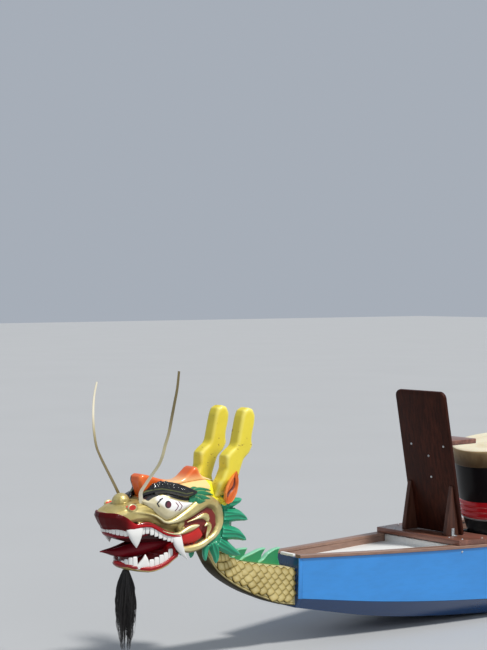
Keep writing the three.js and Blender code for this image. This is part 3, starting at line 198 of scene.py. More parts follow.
# Cheek: the curl's area with the range of depths and the front end of its recess, and the red inner cheek
CURL_AREA = [
    (300, 205), (256, 214), (206, 226), (160, 244), (112, 256), (72, 243), (45, 212), (43, 165), (68, 130),
    (110, 108), (160, 92), (216, 82), (270, 84), (275, 135), (262, 142), (235, 152), (300, 160),
]
RECESS_DEPTHS = (14, 55)
RECESS_FRONT = 236
INNER_CHEEK = [
    (268, 140), (230, 146), (201, 154), (175, 166), (159, 170), (148, 160), (134, 145), (123, 126),
    (138, 108), (175, 94), (210, 91), (250, 94), (270, 108),
]
CHEEK_DEPTH = 40

# Nostril: centre, half length and height of its oval, how far out its face lies, and where its paint starts
NOSTRIL = (527, 291)
NOSTRIL_HALF = (19, 12)
NOSTRIL_FACE = 98.5
NOSTRIL_PAINT_FROM = 70

# Paint on the crown: its lower edge, and how far each colour runs along the head
CROWN_EDGE = [(-60, 330), (60, 338), (180, 342), (300, 352), (420, 320)]
ORANGE_SPAN, PEACH_SPAN = (205, 445), (60, 212)
YELLOW_EDGE = [(-40, 238), (0, 250), (60, 296), (90, 330)]
YELLOW_FRONT = 70
# Green on the nape: its front edge by height, its top and how deep it starts
NAPE_FRONT = [(60, 60), (120, 26), (200, 14), (260, 4)]
NAPE_TOP, NAPE_DEPTH = 262, 2
# Crest: where peach and pale begin going back, its low peach band, and the ink on its starboard front
CREST_PEACH, CREST_PALE = 92, 40
CREST_BAND_TOP, CREST_BAND_FRONT = 391, 300
CREST_FRONT = [(408, 300), (434, 364), (446, 398)]
INK_HALF, INK_OUT = 20, 26
# How strongly a face is painted darker, as painted shade, as it turns down: gain, what is taken off, most
HEAD_UNDER, JAW_UNDER, BOARD_UNDER = (1.4, 0.25, 0.85), (1.2, 0.2, 0.8), (1.8, 0, 1)

# Leaf blades from the end of each brow over the head's side, forward and up, root to tip
BROW_LEAVES = [
    [(198, 322), (172, 334), (144, 340), (118, 338)],
    [(204, 300), (178, 291), (150, 287), (124, 290)],
    [(192, 298), (154, 300), (120, 300), (90, 294)],
    [(194, 316), (160, 326), (126, 332), (92, 334), (64, 328)],
    [(192, 308), (152, 314), (114, 317), (80, 314), (54, 305)],
]
LEAF_WIDTH, LEAF_RISE, LEAF_RINGS = 18, 9, 18
# A place this far out to a side is clear of the head, and a leaf is laid on from there
CLEAR_OF_HEAD = 220
# A blade's section. Columns: across, millimetres out, share of its rise, how near its gilt edge is
LEAF_SECTION = [
    (-1, 0.6, 0, 0.4), (-0.6, 0, 0.8, -3), (0, 0, 1, -6), (0.6, 0, 0.8, -3), (1, 0.6, 0, 0.4),
    (0.8, -7, 0, 0), (-0.8, -7, 0, 0),
]

# Rows of teeth. Columns: forward, out, height of the root, height of the tip, half width
UPPER_TEETH = [
    (604, 11, 197, 176, 10), (601, 31, 197, 174, 10), (595, 49, 197, 171, 10), (585, 65, 197, 168, 10),
    (572, 79, 196, 166, 11), (559, 92, 194, 163, 11), (474, 107, 206, 164, 11), (451, 109, 206, 166, 11.5),
    (427, 111, 198, 156, 12), (403, 112, 186, 147, 12), (379, 114, 172, 137, 12), (356, 115, 160, 127, 12),
    (333, 116, 150, 118, 12), (311, 117, 146, 112, 12),
]
LOWER_TEETH = [
    (540, 11, 24, 38, 10), (535, 31, 25, 42, 10), (526, 48, 25, 50, 10), (512, 62, 23, 57, 11),
    (494, 73, 16, 60, 12), (413, 91, 3, 42, 13.5), (387, 94, 7, 49, 13.5), (361, 96, 14, 57, 13.5),
    (336, 97, 22, 66, 13.5), (311, 97, 36, 80, 14),
]
TOOTH_THICK = 9
TOOTH_GAP = 0.9
# One tooth, unit sized. Columns: height, reach. How squarely it is cut across and through
TOOTH_RINGS = [(0.16, 0.92), (0, 1), (-0.5, 0.99), (-0.86, 0.94), (-0.96, 0.84), (-1, 0.55)]
TOOTH_SQUARE = (0.36, 0.5)
TOOTH_THINNING = 0.12
TOOTH_SIDES, FANG_RINGS = 16, 20
# Fangs: rings from root to tip. Columns: forward, out, height, half width, half thickness
FRONT_FANG = [
    (521, 103, 206, 44, 9), (521, 106, 186, 42, 11), (519, 108, 166, 35, 11), (517, 108, 146, 26, 9),
    (514, 107, 127, 15, 7), (512, 106, 113, 5, 4), (511, 105, 107, 1, 1),
]
REAR_FANG = [
    (291, 113, 146, 26, 9), (288, 119, 124, 26, 11), (283, 122, 100, 24, 12), (274, 123, 78, 20, 10),
    (259, 122, 56, 14, 8), (241, 120, 36, 7, 5), (226, 118, 22, 1.5, 1.5),
]
LOWER_FANG = [
    (457, 79, 3, 37, 9), (455, 80, 14, 35, 11), (452, 82, 30, 26, 11), (449, 86, 47, 15, 8),
    (447, 85, 60, 6, 5), (446, 84, 67, 1.5, 1.5),
]
# The way a fang's breadth runs: along and across the head
FANG_WAY = (0.99, 0.13)
GUM_RADIUS, GUM_RINGS = 8, 40
# How far above or below the roots each gum runs
UPPER_GUM_LIFT, LOWER_GUM_LIFT = 6, -5

# The red fold along the foot of each cheek. Columns: forward, out, up, radius
CHEEK_FOLD = [
    (128, 74, 112, 6), (150, 78, 103, 13), (182, 82, 97, 15), (216, 84, 96, 15), (248, 86, 100, 13),
    (268, 88, 108, 6),
]
# The dark fold of the palate behind the upper teeth. Columns: forward, out, up, radius
PALATE_FOLD = [
    (420, 80, 166, 10), (450, 84, 168, 17), (490, 84, 171, 21), (530, 78, 172, 22), (558, 62, 172, 22),
    (574, 40, 172, 21), (581, 14, 172, 20),
]
FOLD_RINGS, FOLD_SIDES = 30, 20

# The upper lip's front: where it starts and the height its lower part rakes back from, over what
# distances that sets in, and how far it goes back and in. Aft of the flank the lip is painted a lit red,
# and forward of it a dark crimson as painted shade
LIP_RAKE_FROM, LIP_RAKE_TOP = 560, 250
LIP_RAKE_RUN, LIP_RAKE_FALL = 60, 50
LIP_BACK, LIP_INWARD = 20, 11
LIP_FLANK = 545

# Tongue rings. Columns: forward, height, half breadth, half height. Its furrow: depth and breadth as shares
TONGUE = [
    (192, 112, 50, 20), (250, 108, 54, 34), (310, 103, 56, 39), (370, 97, 56, 41), (430, 91, 54, 41),
    (480, 86, 50, 37), (530, 82, 43, 28), (570, 83, 33, 19), (600, 87, 22, 11), (625, 90, 11, 5),
    (638, 90, 4, 2),
]
FURROW_DEEP, FURROW_BROAD = 0.45, 0.28
TONGUE_RINGS, TONGUE_SIDES = 48, 36

# Lower edge of the mouth's roof, the red inside of the mouth, and the jaw's rim and breadth, along the head
ROOF_EDGE = [
    (250, 132), (266, 140), (310, 148), (379, 172), (440, 204), (500, 208), (560, 200), (605, 203),
    (640, 210),
]
MOUTH_BACK, MOUTH_TOP, MOUTH_DEPTH, MOUTH_HALF = 262, 214, 16, 80
JAW_RIM = [
    (200, 110), (255, 100), (272, 54), (300, 42), (332, 24), (368, 11), (402, 4), (430, 2), (468, 7),
    (505, 16), (530, 26), (552, 33),
]
JAW_BREADTH = [
    (200, 88), (272, 107), (300, 111), (368, 110), (430, 101), (468, 88), (505, 68), (530, 46), (552, 10),
]
RIM_DEEP = 11
JAW_WALL = 13

# Ear: lower and upper end of its middle line, and half width along it
EAR_FOOT = Vector((12, 147, 268))
EAR_TIP = Vector((-57, 139, 414))
EAR_WIDTH = [(0, 8), (0.1, 24), (0.25, 34), (0.42, 37), (0.62, 31), (0.8, 20), (0.93, 9), (1, 1.5)]
# Its rim: height, place across, breadth. Its canal's groove: depth, breadth. Its floor and back
EAR_RIM = (10, 0.8, 0.17)
EAR_GROOVE = (9, 0.2)
EAR_FLOOR, EAR_BACK = 3, 15
EAR_CANAL = (0.18, 0.8)
NO_CANAL = -9
# How its canal winds: how far, how often. The half width at which it is fully deep. Its rings and points
EAR_BEND = (0.3, 8)
EAR_FULL_HALF = 24
EAR_RINGS, EAR_ACROSS = 44, 23

# Whisker of gilt strip. Columns: forward, out, height, half width
WHISKER = [
    (462, 76, 300, 10), (470, 84, 325, 10), (479, 97, 357, 9.5), (479, 130, 393, 9), (478, 183, 447, 8.5),
    (476, 225, 490, 8), (477, 255, 533, 7.5), (475, 275, 587, 7.5), (469, 292, 639, 7), (462, 304, 707, 7),
    (451, 311, 775, 6.5), (436, 311, 838, 6), (421, 305, 914, 5.5),
]
WHISKER_STARBOARD_ROWS = 12
WHISKER_THICK = 1.6
WHISKER_RINGS, WHISKER_SIDES = 60, 14
WHISKER_FLAT = (1, -0.25, 0)
# Heights to which a whisker has a painted highlight and from which it has painted shade, on port, and the
# other way to starboard
PORT_HIGHLIGHT_TO, PORT_SHADE_FROM = 440, 640
STARBOARD_SHADE_TO, STARBOARD_HIGHLIGHT_FROM = 600, 640

# Tassel under the jaw: its top, longest hair, belly and neck, how far its two locks part, and each lock's
# core by height and radius
TASSEL_TOP = Vector((495, 0, -9))
TASSEL_LONG = 382
TASSEL_BELLY = 25
TASSEL_NECK = 7
TASSEL_SPLIT = (17, 9)
TASSEL_CORE = [(-2, 6), (-14, 9), (-60, 12), (-120, 15), (-190, 14), (-260, 9), (-330, 2)]
# Its hair: points in each line, seed, spans of its draws for reach and length, radius at the tips, wave,
# and steps along a strand
HAIR_POINTS, HAIR_SEED = 9, 21
HAIR_REACH, HAIR_LENGTH = (0.05, 1), (0.62, 1)
HAIR_TIP, HAIR_WAVE, HAIR_STEPS = 0.0002, 0.03, 18

# Neck and tail boards in metres. Columns: forward, lowest and highest point, half thickness
NECK_BOARD = np.array([
    [5800.3, 196, 388, 64], [5900, 218, 408, 62], [6000, 256, 428, 59], [6100, 300, 450, 55],
    [6180, 344, 474, 51], [6250, 392, 520, 49], [6300, 440, 580, 47], [6340, 500, 620, 44],
    [6372, 556, 640, 38],
]) * MM
TAIL_BOARD = np.array([
    [-5800.3, 235, 413, 47], [-6036, 256, 420, 45], [-6236, 294, 451, 42], [-6408, 360, 514, 38],
    [-6522, 414, 562, 34], [-6665, 480, 592, 28], [-6780, 540, 612, 22], [-6860, 590, 640, 16],
    [-6908, 638, 660, 8],
]) * MM
BOARD_STEPS = 90
# A board's edges. Columns: share of its half thickness, mm added, mm up from its keel or down from its back
BOARD_KEEL = [
    (0, 0, 0), (0.72, 0, 0), (0.94, 0, 2.5), (1, 0.8, 8), (1, 1.2, 12), (1, -1, 16.5), (1, -1.5, 19),
    (1, 0, 24),
]
BOARD_BACK = [(1, 0, 12), (1, 0, 6), (1, -0.8, 2.5), (0.86, 0, 0.6), (0, 0, 0)]
BOARD_FULL_DEPTH = 0.09
NECK_RIBS = [
    [(6168, 470), (6150, 486), (6128, 512), (6065, 512)],
    [(6118, 452), (6090, 470), (6040, 482), (5988, 496), (5945, 499)],
    [(5992, 434), (5962, 447), (5936, 468), (5890, 486), (5851, 490)],
]
TAIL_RIBS = [
    [(-5860, 405), (-5860, 432), (-6022, 486)], [(-6010, 440), (-6085, 452), (-6208, 523)],
    [(-6215, 462), (-6270, 490), (-6351, 572)], [(-6360, 520), (-6440, 560), (-6565, 680)],
    [(-6575, 610), (-6630, 640), (-6744, 766)], [(-6750, 640), (-6860, 740), (-7001, 888)],
    [(-6950, 760), (-6980, 770), (-7123, 915)], [(-6960, 640), (-7137, 705)], [(-6920, 560), (-7016, 516)],
    [(-6760, 480), (-6837, 413)], [(-6580, 410), (-6637, 364)], [(-6360, 320), (-6422, 278)],
]

# Scales on the neck and tail: where they start and end, and in millimetres their step along, row
# spacing, length, breadth and rise, and the bands left bare above and below
NECK_SCALED, TAIL_SCALED = (5.83, 6.29), (-6.8, -5.83)
SCALE_STEP, SCALE_ROW = 46, 25
SCALE_ROWS = 12
SCALE_SIZE = (70, 54, 11)
UPPER_BAND, LOWER_BAND = 5, 12
# How much of its breadth a scale keeps from each band, and how deep it is let in
SCALE_ABOVE, SCALE_BELOW, SCALE_INSET = 0.42, 0.3, 0.0015
# The board's depth at which scales have their full size, the least share they shrink to, and the
# distance over which a board's slope is measured
SCALE_FULL_DEPTH, SCALE_LEAST, SLOPE_SPAN = 0.15, 0.45, 0.02
# One scale, unit sized. Columns: reach, lift, hollow or ridge for its painted shade and highlight. Then its
# outline's power, its front's height
SCALE_RINGS = [(1, -0.5, -3), (1, 0.02, -3), (0.95, 0.17, -1), (0.66, 0.2, 1.4), (0.12, 0.22, 1.9)]
SCALE_SIDES = 16
SCALE_POINT = 1.28
SCALE_FRONT = 0.05

# Where the front of each brow starts to thin and over what distance, the lid it thins to, how much of
# the height above the lid goes, and how far it goes in
BROW_THIN_FROM, BROW_THIN_RUN = 384, 60
BROW_LID = [(384, 352), (420, 346), (450, 334), (500, 314)]
BROW_THINNED, BROW_IN = 0.8, 10
# The fine olive line under each brow, half its width, and the area that is carved in lumps
BROW_LINE = [(438, 342), (420, 352), (384, 359), (350, 360), (300, 349), (262, 339), (230, 329), (196, 333)]
BROW_LINE_HALF = 2.4
BROW_AREA = [
    (500, 318), (470, 350), (440, 380), (410, 402), (350, 405), (300, 390), (260, 378), (220, 350),
    (196, 338), (230, 330), (300, 350), (350, 358), (420, 352), (450, 330),
]
# Over what distance the lumps set in, and how steeply each falls away
BROW_LUMPS_SET_IN, BROW_LUMP_FALL = 9, 1.7
# Where the horn's foot starts to draw in and over what distance, how far in and down, and how gently
HORN_FOOT, HORN_RUN, HORN_IN, HORN_DOWN, HORN_EASE = 376, 50, 30, 26, 1.3

# Mane locks: root and tip forward and up, half width, and how far the tip hooks
MANE_LOCKS = [
    (10, 268, -120, 254, 34, -18), (0, 205, -160, 188, 40, 20), (10, 126, -154, 92, 40, 22),
    (30, 82, -104, -10, 36, -16), (54, 78, 26, -18, 28, 12), (90, 70, 110, 0, 19, -10),
    (126, 64, 148, 34, 14, 0), (0, 240, -72, 316, 18, -8),
]
# Combed ridges on each lock: their width and rise, their place across and bow, and how they close to the tip
MANE_RIDGE_WIDTH, MANE_RIDGE_RISE = 5, 5
MANE_RIDGES = ((-0.52, 5), (0, -6), (0.52, 5))
MANE_COMB = ((0, 1), (0.4, 0.9), (0.75, 0.5), (1, 0))
# The yellow let down over the mane
MANE_YELLOW = [(60, 318), (30, 292), (-2, 268)]
MANE_YELLOW_HALF = 15

# How uneven the copies of each small part are in size and turn, and the seed they are drawn from
BOLTS_UNEVEN = dict(spread=0.04, swing=0.05, seed=3)
SCALES_UNEVEN = dict(spread=0.035, swing=0.035, seed=11)
TEETH_UNEVEN = dict(spread=0.03, swing=0.03, seed=5)

# Faces that meet more sharply than this keep a hard edge, by kind of work
JOINED, PLANKED, TURNED, CARVED, TOOTHED, SCALED = (math.radians(a) for a in (38, 30, 35, 50, 60, 70))
# Sideways facing at which a raised line starts to show, and over what range it comes up
LINE_FACING, LINE_FACING_RUN = 0.25, 0.625

# Studio: floor, sky colour and strength, the sun's way, power, breadth and colour, and the fill light
FLOOR_HALF = 60
SKY, SKY_POWER = (0.8, 0.88, 1, 1), 0.48
SUN_WAY = (0.22, -0.48, -0.85)
SUN_POWER, SUN_BREADTH, SUN_COLOUR = 3.1, math.radians(9), (1, 0.97, 0.92)
FILL_PLACE, FILL_AIM = (9, 6.5, 4.5), (5.8, 0, 0.6)
FILL_SIZE, FILL_POWER, FILL_COLOUR = 5, 70, (0.95, 0.98, 1)

# The photograph's eye point, direction and lens
EYE_POINT = (10.84, 5.57, 1.785)
EYE_TURN = math.radians(40.5)
EYE_DIP = math.atan(37 / 1500)
EYE_LENS = 83.08
SENSOR = 36


# Meshes

def new_object(name, mesh):
    made = bpy.data.objects.new(name, mesh)
    bpy.context.scene.collection.objects.link(made)
    return made


def mesh_from(name, points, faces, face_materials=None):
    mesh = bpy.data.meshes.new(name)
    mesh.from_pydata([tuple(p) for p in points], [], faces)
    if face_materials is not None:
        mesh.polygons.foreach_set("material_index", face_materials)
    mesh.update()
    return mesh


def mesh_points(mesh):
    points = np.empty(len(mesh.vertices) * 3)
    mesh.vertices.foreach_get("co", points)
    return points.reshape(-1, 3)


def normals(mesh):
    numbers = np.empty(len(mesh.vertices) * 3)
    mesh.vertices.foreach_get("normal", numbers)
    return numbers.reshape(-1, 3)


def move_points(mesh, forward=0, out=0, up=0):
    """Move a mesh's points by millimetres forward, to port and up, each one number or one for each point."""
    shift = np.zeros((len(mesh.vertices), 3))
    for axis, amount in enumerate((forward, out, up)):
        shift[:, axis] = amount
    mesh.vertices.foreach_set("co", (mesh_points(mesh) + shift * MM).ravel())
    mesh.update()


def shade_smooth(mesh, angle=JOINED):
    """Smooth shading, with a hard edge wherever two faces meet more sharply than the angle."""
    mesh.polygons.foreach_set("use_smooth", [True] * len(mesh.polygons))
    mesh.set_sharp_from_angle(angle=angle)


def loft(rings, row_materials=None, around_materials=None, capped=True):
    """Points, faces and material numbers of a skin over rings with equal numbers of points."""
    count = len(rings[0])
    points = [Vector(p) for ring in rings for p in ring]
    faces = []
    numbers = []
    for i in range(len(rings) - 1):
        for j in range(count):
            a = i * count + j
            b = i * count + (j + 1) % count
            faces.append((a, b, b + count, a + count))
            number = row_materials[i] if row_materials else 0
            numbers.append(around_materials[j] if around_materials else number)
    if capped:
        last = (len(rings) - 1) * count
        faces.append(tuple(range(count - 1, -1, -1)))
        faces.append(tuple(range(last, last + count)))
        numbers += [numbers[0], numbers[-1]]
    return points, faces, numbers


def face_outward(mesh, merge=None):
    """Turn every face outward, once points closer than the merging distance are made one."""
    shape = bmesh.new()
    shape.from_mesh(mesh)
    if merge:
        bmesh.ops.remove_doubles(shape, verts=shape.verts, dist=merge)
    bmesh.ops.recalc_face_normals(shape, faces=shape.faces)
    shape.to_mesh(mesh)
    shape.free()


def evaluated_mesh(made):
    graph = bpy.context.evaluated_depsgraph_get()
    return bpy.data.meshes.new_from_object(made.evaluated_get(graph), depsgraph=graph)


def apply_modifiers(made):
    mesh = evaluated_mesh(made)
    made.modifiers.clear()
    old = made.data
    made.data = mesh
    mesh.name = old.name
    bpy.data.meshes.remove(old)


def bevel(made, width, segments=3):
    modifier = made.modifiers.new("ease", "BEVEL")
    modifier.width = width
    modifier.segments = segments
    modifier.limit_method = "ANGLE"
    modifier.angle_limit = PLANKED
    modifier.harden_normals = False
    apply_modifiers(made)


def lofted_object(name, rings, angle=JOINED, around=None, ease=None, segments=3):
    """An object over rings of points, its edges eased and its long faces shaded smooth."""
    points, faces, numbers = loft(rings, around_materials=around)
    made = new_object(name, mesh_from(name, points, faces, numbers))
    face_outward(made.data)
    if ease:
        bevel(made, ease, segments)
    shade_smooth(made.data, angle)
    return made


def box_rings(low, high):
    """The two ends of a block between two corners."""
    corners = ((low[1], low[2]), (high[1], low[2]), (high[1], high[2]), (low[1], high[2]))
    return [[(x, y, z) for y, z in corners] for x in (low[0], high[0])]


def node_copy(node, name, merge=1e-5, flat=math.radians(0.3)):
    """A merged copy of a CAD node's mesh, with flat areas cleared of their inner edges."""
    shape = bmesh.new()
    shape.from_mesh(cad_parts[node].data)
    bmesh.ops.remove_doubles(shape, verts=shape.verts, dist=merge)
    bmesh.ops.dissolve_limit(shape, angle_limit=flat, verts=shape.verts, edges=shape.edges)
    mesh = bpy.data.meshes.new(name)
    shape.to_mesh(mesh)
    shape.free()
    return new_object(name, mesh)


def place_piece(made, nodes, finishes, body=ROOT):
    """Give a finished piece its finishes, hide the CAD nodes it stands for, and attach it to what it rides
    on.
    """
    slots = made.data.materials
    for number, finish in enumerate(finishes):
        if number < len(slots):
            slots[number] = MATERIALS[finish]
        else:
            slots.append(MATERIALS[finish])
    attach(made, body)
    if nodes:
        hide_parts(*nodes)
    return made


def eased_piece(node, name, finish, width, body=ROOT):
    """A CAD piece with its sharp edges rounded over."""
    made = node_copy(node, name)
    bevel(made, width)
    shade_smooth(made.data)
    return place_piece(made, [node], [finish], body)


def softened_copy(node, name, cell, rounds):
    """A carved copy of a CAD piece: an even skin of cells in millimetres whose facets are smoothed away."""
    made = node_copy(node, name)
    remesh = made.modifiers.new("skin", "REMESH")
    remesh.mode = "VOXEL"
    remesh.voxel_size = cell * MM
    smooth = made.modifiers.new("smooth", "SMOOTH")
    smooth.factor = 0.5
    smooth.iterations = rounds
    apply_modifiers(made)
    made.data.polygons.foreach_set("use_smooth", [True] * len(made.data.polygons))
    return made


def from_head(x, y, z):
    """A place on the boat from the head's own millimetres."""
    return HEAD_PLACE + Vector((x, y, z)) * MM


def smooth_rows(rows, count):
    """A table drawn out to more rows on smooth curves through all of its rows."""
    rows = np.array(rows, float)
    ends = np.vstack([2 * rows[0] - rows[1], rows, 2 * rows[-1] - rows[-2]])
    steps = np.concatenate([[0], np.cumsum(np.linalg.norm(np.diff(rows, axis=0), axis=1))])
    drawn = []
    for at in np.linspace(0, steps[-1], count):
        i = int(np.clip(np.searchsorted(steps, at, side="right") - 1, 0, len(rows) - 2))
        t = (at - steps[i]) / (steps[i + 1] - steps[i])
        before, start, end, after = ends[i:i + 4]
        drawn.append(0.5 * (2 * start + (end - before) * t + (2 * before - 5 * start + 4 * end - after) * t**2
                            + (3 * start - before - 3 * end + after) * t**3))
    return np.array(drawn)


def either_side(rows, i):
    """The rows before and after one row of a table, or the row itself at an end."""
    return rows[max(i - 1, 0)], rows[min(i + 1, len(rows) - 1)]


def round_angles(count):
    return np.linspace(0, 2 * math.pi, count, endpoint=False)


def skinned(name, rings, capped=True, angle=CARVED):
    """A closed skin over rings of points, shaded smooth."""
    points, faces, _ = loft(rings, capped=capped)
    mesh = mesh_from(name, points, faces)
    face_outward(mesh)
    shade_smooth(mesh, angle)
    return mesh


def turned(name, profile, numbers):
    """A mesh turned about the upright axis from radius and height in millimetres."""
    angles = round_angles(DRUM_SEGMENTS)
    rings = [[(r * MM * math.cos(a), r * MM * math.sin(a), z * MM) for a in angles] for r, z in profile]
    points, faces, marks = loft(rings, row_materials=numbers, capped=False)
    mesh = mesh_from(name, points, faces, marks)
    face_outward(mesh, merge=1e-6)
    shade_smooth(mesh, TURNED)
    return mesh


def joined(name, meshes):
    """One object from several meshes, its materials numbered in the order of the meshes."""
    shape = bmesh.new()
    for number, mesh in enumerate(meshes):
        before = len(shape.faces)
        shape.from_mesh(mesh)
        shape.faces.ensure_lookup_table()
        for face in shape.faces[before:]:
            face.material_index = number
        bpy.data.meshes.remove(mesh)
    whole = bpy.data.meshes.new(name)
    shape.to_mesh(whole)
    shape.free()
    return new_object(name, whole)


def surface_of(mesh):
    return BVHTree.FromPolygons([v.co for v in mesh.vertices], [tuple(p.vertices) for p in mesh.polygons])


def landing(surface, start, direction):
    """Where a line from a point first meets a surface, and which way the surface faces there."""
    place, facing, _, _ = surface.ray_cast(Vector(start), Vector(direction))
    if place is None:
        raise RuntimeError(f"nothing lies in the direction {tuple(direction)} from {tuple(start)}")
    return place, facing


def raise_lines(mesh, lines, width, rise):
    """Carve rounded ribs on both side faces along lines given by forward and up in millimetres."""
    flat = mesh_points(mesh)[:, [0, 2]] / MM
    nearest = distance_to_lines(flat, [smooth_rows(line, 16) for line in lines])
    facing = normals(mesh)[:, 1]
    lift = rise * np.exp(-(nearest / width) ** 2) * share_past(np.abs(facing), LINE_FACING, LINE_FACING_RUN)
    store(mesh, "rib", width - nearest)
    move_points(mesh, out=np.sign(facing) * lift)


# Geometry Nodes

class NodeTree:
    """A Geometry Nodes tree under construction, whose sizes are named inputs."""

    def __init__(self, name):
        self.tree = bpy.data.node_groups.new(name, "GeometryNodeTree")
        self.tree.interface.new_socket("Geometry", in_out="INPUT", socket_type="NodeSocketGeometry")
        self.tree.interface.new_socket("Geometry", in_out="OUTPUT", socket_type="NodeSocketGeometry")
        self.start = self.tree.nodes.new("NodeGroupInput")
        self.end = self.tree.nodes.new("NodeGroupOutput")
        self.inputs = {}

    def size(self, name, kind):
        socket = self.tree.interface.new_socket(name, in_out="INPUT", socket_type=f"NodeSocket{kind}")
        self.inputs[name] = socket.identifier
        return self.start.outputs[name]

    def add(self, kind, sockets, out=0, **values):
        """Add a node, set or wire its sockets by name or number, and give back one of its outputs."""
        made = self.tree.nodes.new(kind)
        for key, value in values.items():
            setattr(made, key, value)
        for key, value in sockets.items():
            if isinstance(value, bpy.types.NodeSocket):
                self.tree.links.new(value, made.inputs[key])
            else:
                made.inputs[key].default_value = value
        return made.outputs[out]

    def finish(self, geometry, material):
        """End the tree with plain geometry that wears its finish."""
        plain = self.add("GeometryNodeRealizeInstances", {"Geometry": geometry})
        dressed = self.add("GeometryNodeSetMaterial", {"Geometry": plain, "Material": material})
        self.tree.links.new(dressed, self.end.inputs[0])
        return self


def grown_mesh(base, tree, values):
    """The plain mesh that a tree grows on a base mesh, with the tree's inputs set by name."""
    carrier = new_object("growing", base)
    modifier = carrier.modifiers.new("grow", "NODES")
    modifier.node_group = tree.tree
    for name, value in values.items():
        modifier[tree.inputs[name]] = value
    mesh = evaluated_mesh(carrier)
    carrier.modifiers.clear()
    bpy.data.objects.remove(carrier)
    return mesh


def copies_tree():
    """Copies of a pattern, one on each point, turned and sized by the point and a little uneven."""
    tree = NodeTree("copies_on_places")
    pattern = tree.size("Pattern", "Object")
    finish = tree.size("Finish", "Material")
    spread = tree.size("Size spread", "Float")
    swing = tree.size("Turn spread", "Float")
    seed = tree.size("Seed", "Int")
    shape = tree.add("GeometryNodeObjectInfo", {"Object": pattern}, "Geometry")
    turn = tree.add("GeometryNodeInputNamedAttribute", {"Name": "turn"}, data_type="FLOAT_VECTOR")
    size = tree.add("GeometryNodeInputNamedAttribute", {"Name": "size"}, data_type="FLOAT_VECTOR")
    smallest = tree.add("ShaderNodeMath", {0: 1, 1: spread}, operation="SUBTRACT")
    largest = tree.add("ShaderNodeMath", {0: 1, 1: spread}, operation="ADD")
    spans = {2: smallest, 3: largest, "Seed": seed}
    uneven = tree.add("FunctionNodeRandomValue", spans, 1, data_type="FLOAT")
    back = tree.add("ShaderNodeMath", {0: swing, 1: -1}, operation="MULTIPLY")
    tilt = tree.add("FunctionNodeRandomValue", {0: back, 1: swing, "Seed": seed}, 0, data_type="FLOAT_VECTOR")
    turned_by = tree.add("ShaderNodeVectorMath", {0: turn, 1: tilt}, operation="ADD")
    sized_by = tree.add("ShaderNodeVectorMath", {0: size, "Scale": uneven}, operation="SCALE")
    copies = tree.add("GeometryNodeInstanceOnPoints", {
        "Points": tree.start.outputs[0], "Instance": shape, "Rotation": turned_by, "Scale": sized_by,
    })
    return tree.finish(copies, finish)


def strands_tree():
    """Strands along lines, waved by noise and thinner towards their ends."""
    tree = NodeTree("strands_along_lines")
    finish = tree.size("Finish", "Material")
    radius = tree.size("Radius", "Float")
    tip = tree.size("Tip radius", "Float")
    wave = tree.size("Wave", "Float")
    steps = tree.size("Steps", "Int")
    lines = tree.add("GeometryNodeMeshToCurve", {"Mesh": tree.start.outputs[0]})
    lines = tree.add("GeometryNodeResampleCurve", {"Curve": lines, "Count": steps})
    along = tree.add("GeometryNodeSplineParameter", {})
    cloud = tree.add("ShaderNodeTexNoise", {"Scale": 26, "Detail": 2}, "Color")
    centred = tree.add("ShaderNodeVectorMath", {0: cloud, 1: (0.5, 0.5, 0.5)}, operation="SUBTRACT")
    reach = tree.add("ShaderNodeMath", {0: along, 1: wave}, operation="MULTIPLY")
    shift = tree.add("ShaderNodeVectorMath", {0: centred, "Scale": reach}, operation="SCALE")
    lines = tree.add("GeometryNodeSetPosition", {"Geometry": lines, "Offset": shift})
    thin = tree.add("ShaderNodeMath", {0: along, 1: 3}, operation="POWER")
    taper = tree.add("ShaderNodeMath", {0: 1, 1: thin}, operation="SUBTRACT")
    thick = tree.add("ShaderNodeMath", {0: taper, 1: radius}, operation="MULTIPLY")
    thick = tree.add("ShaderNodeMath", {0: thick, 1: tip}, operation="MAXIMUM")
    profile = tree.add("GeometryNodeCurvePrimitiveCircle", {"Resolution": 5, "Radius": 1})
    strands = tree.add("GeometryNodeCurveToMesh", {
        "Curve": lines, "Profile Curve": profile, "Scale": thick, "Fill Caps": True,
    })
    return tree.finish(strands, finish)


def spread_copies(pattern, places, finish, spread, swing, seed):
    """Copies of a pattern mesh on places, each a point, a turn and a size, as one mesh."""
    base = bpy.data.meshes.new("places")
    base.from_pydata([place for place, _, _ in places], [], [])
    for name, values in (("turn", [t for _, t, _ in places]), ("size", [z for _, _, z in places])):
        kept = base.attributes.new(name, "FLOAT_VECTOR", "POINT")
        kept.data.foreach_set("vector", np.array([tuple(v) for v in values], np.float32).ravel())
    shape = new_object("pattern", pattern)
    mesh = grown_mesh(base, TREES["copies"], {
        "Pattern": shape, "Finish": MATERIALS[finish],
        "Size spread": spread, "Turn spread": swing, "Seed": seed,
    })
    bpy.data.objects.remove(shape)
    return mesh


def upright_turn(facing, along):
    """The turn that lays a pattern's top towards one direction and its front along another."""
    top = Vector(facing).normalized()
    front = Vector(along)
    front = (front - top * front.dot(top)).normalized()
    side = top.cross(front)
    return Matrix((front, side, top)).transposed().to_euler()


TREES = {}


# Paint areas

def head_points(mesh):
    """Every point of a mesh in the head's own millimetres."""
    return (mesh_points(mesh) - np.array(HEAD_PLACE)) / MM


def side_view(mesh):
    return head_points(mesh)[:, [0, 2]]


def distance_to_line(points, line):
    """Distance of each point from a line through several corners."""
    nearest = np.full(len(points), np.inf)
    for start, end in zip(line, line[1:]):
        start, run = np.array(start, float), np.subtract(end, start).astype(float)
        along = np.clip(((points - start) @ run) / (run @ run), 0, 1)
        nearest = np.minimum(nearest, np.linalg.norm(points - start - along[:, None] * run, axis=1))
    return nearest


def distance_to_lines(points, lines):
    return np.min([distance_to_line(points, line) for line in lines], axis=0)


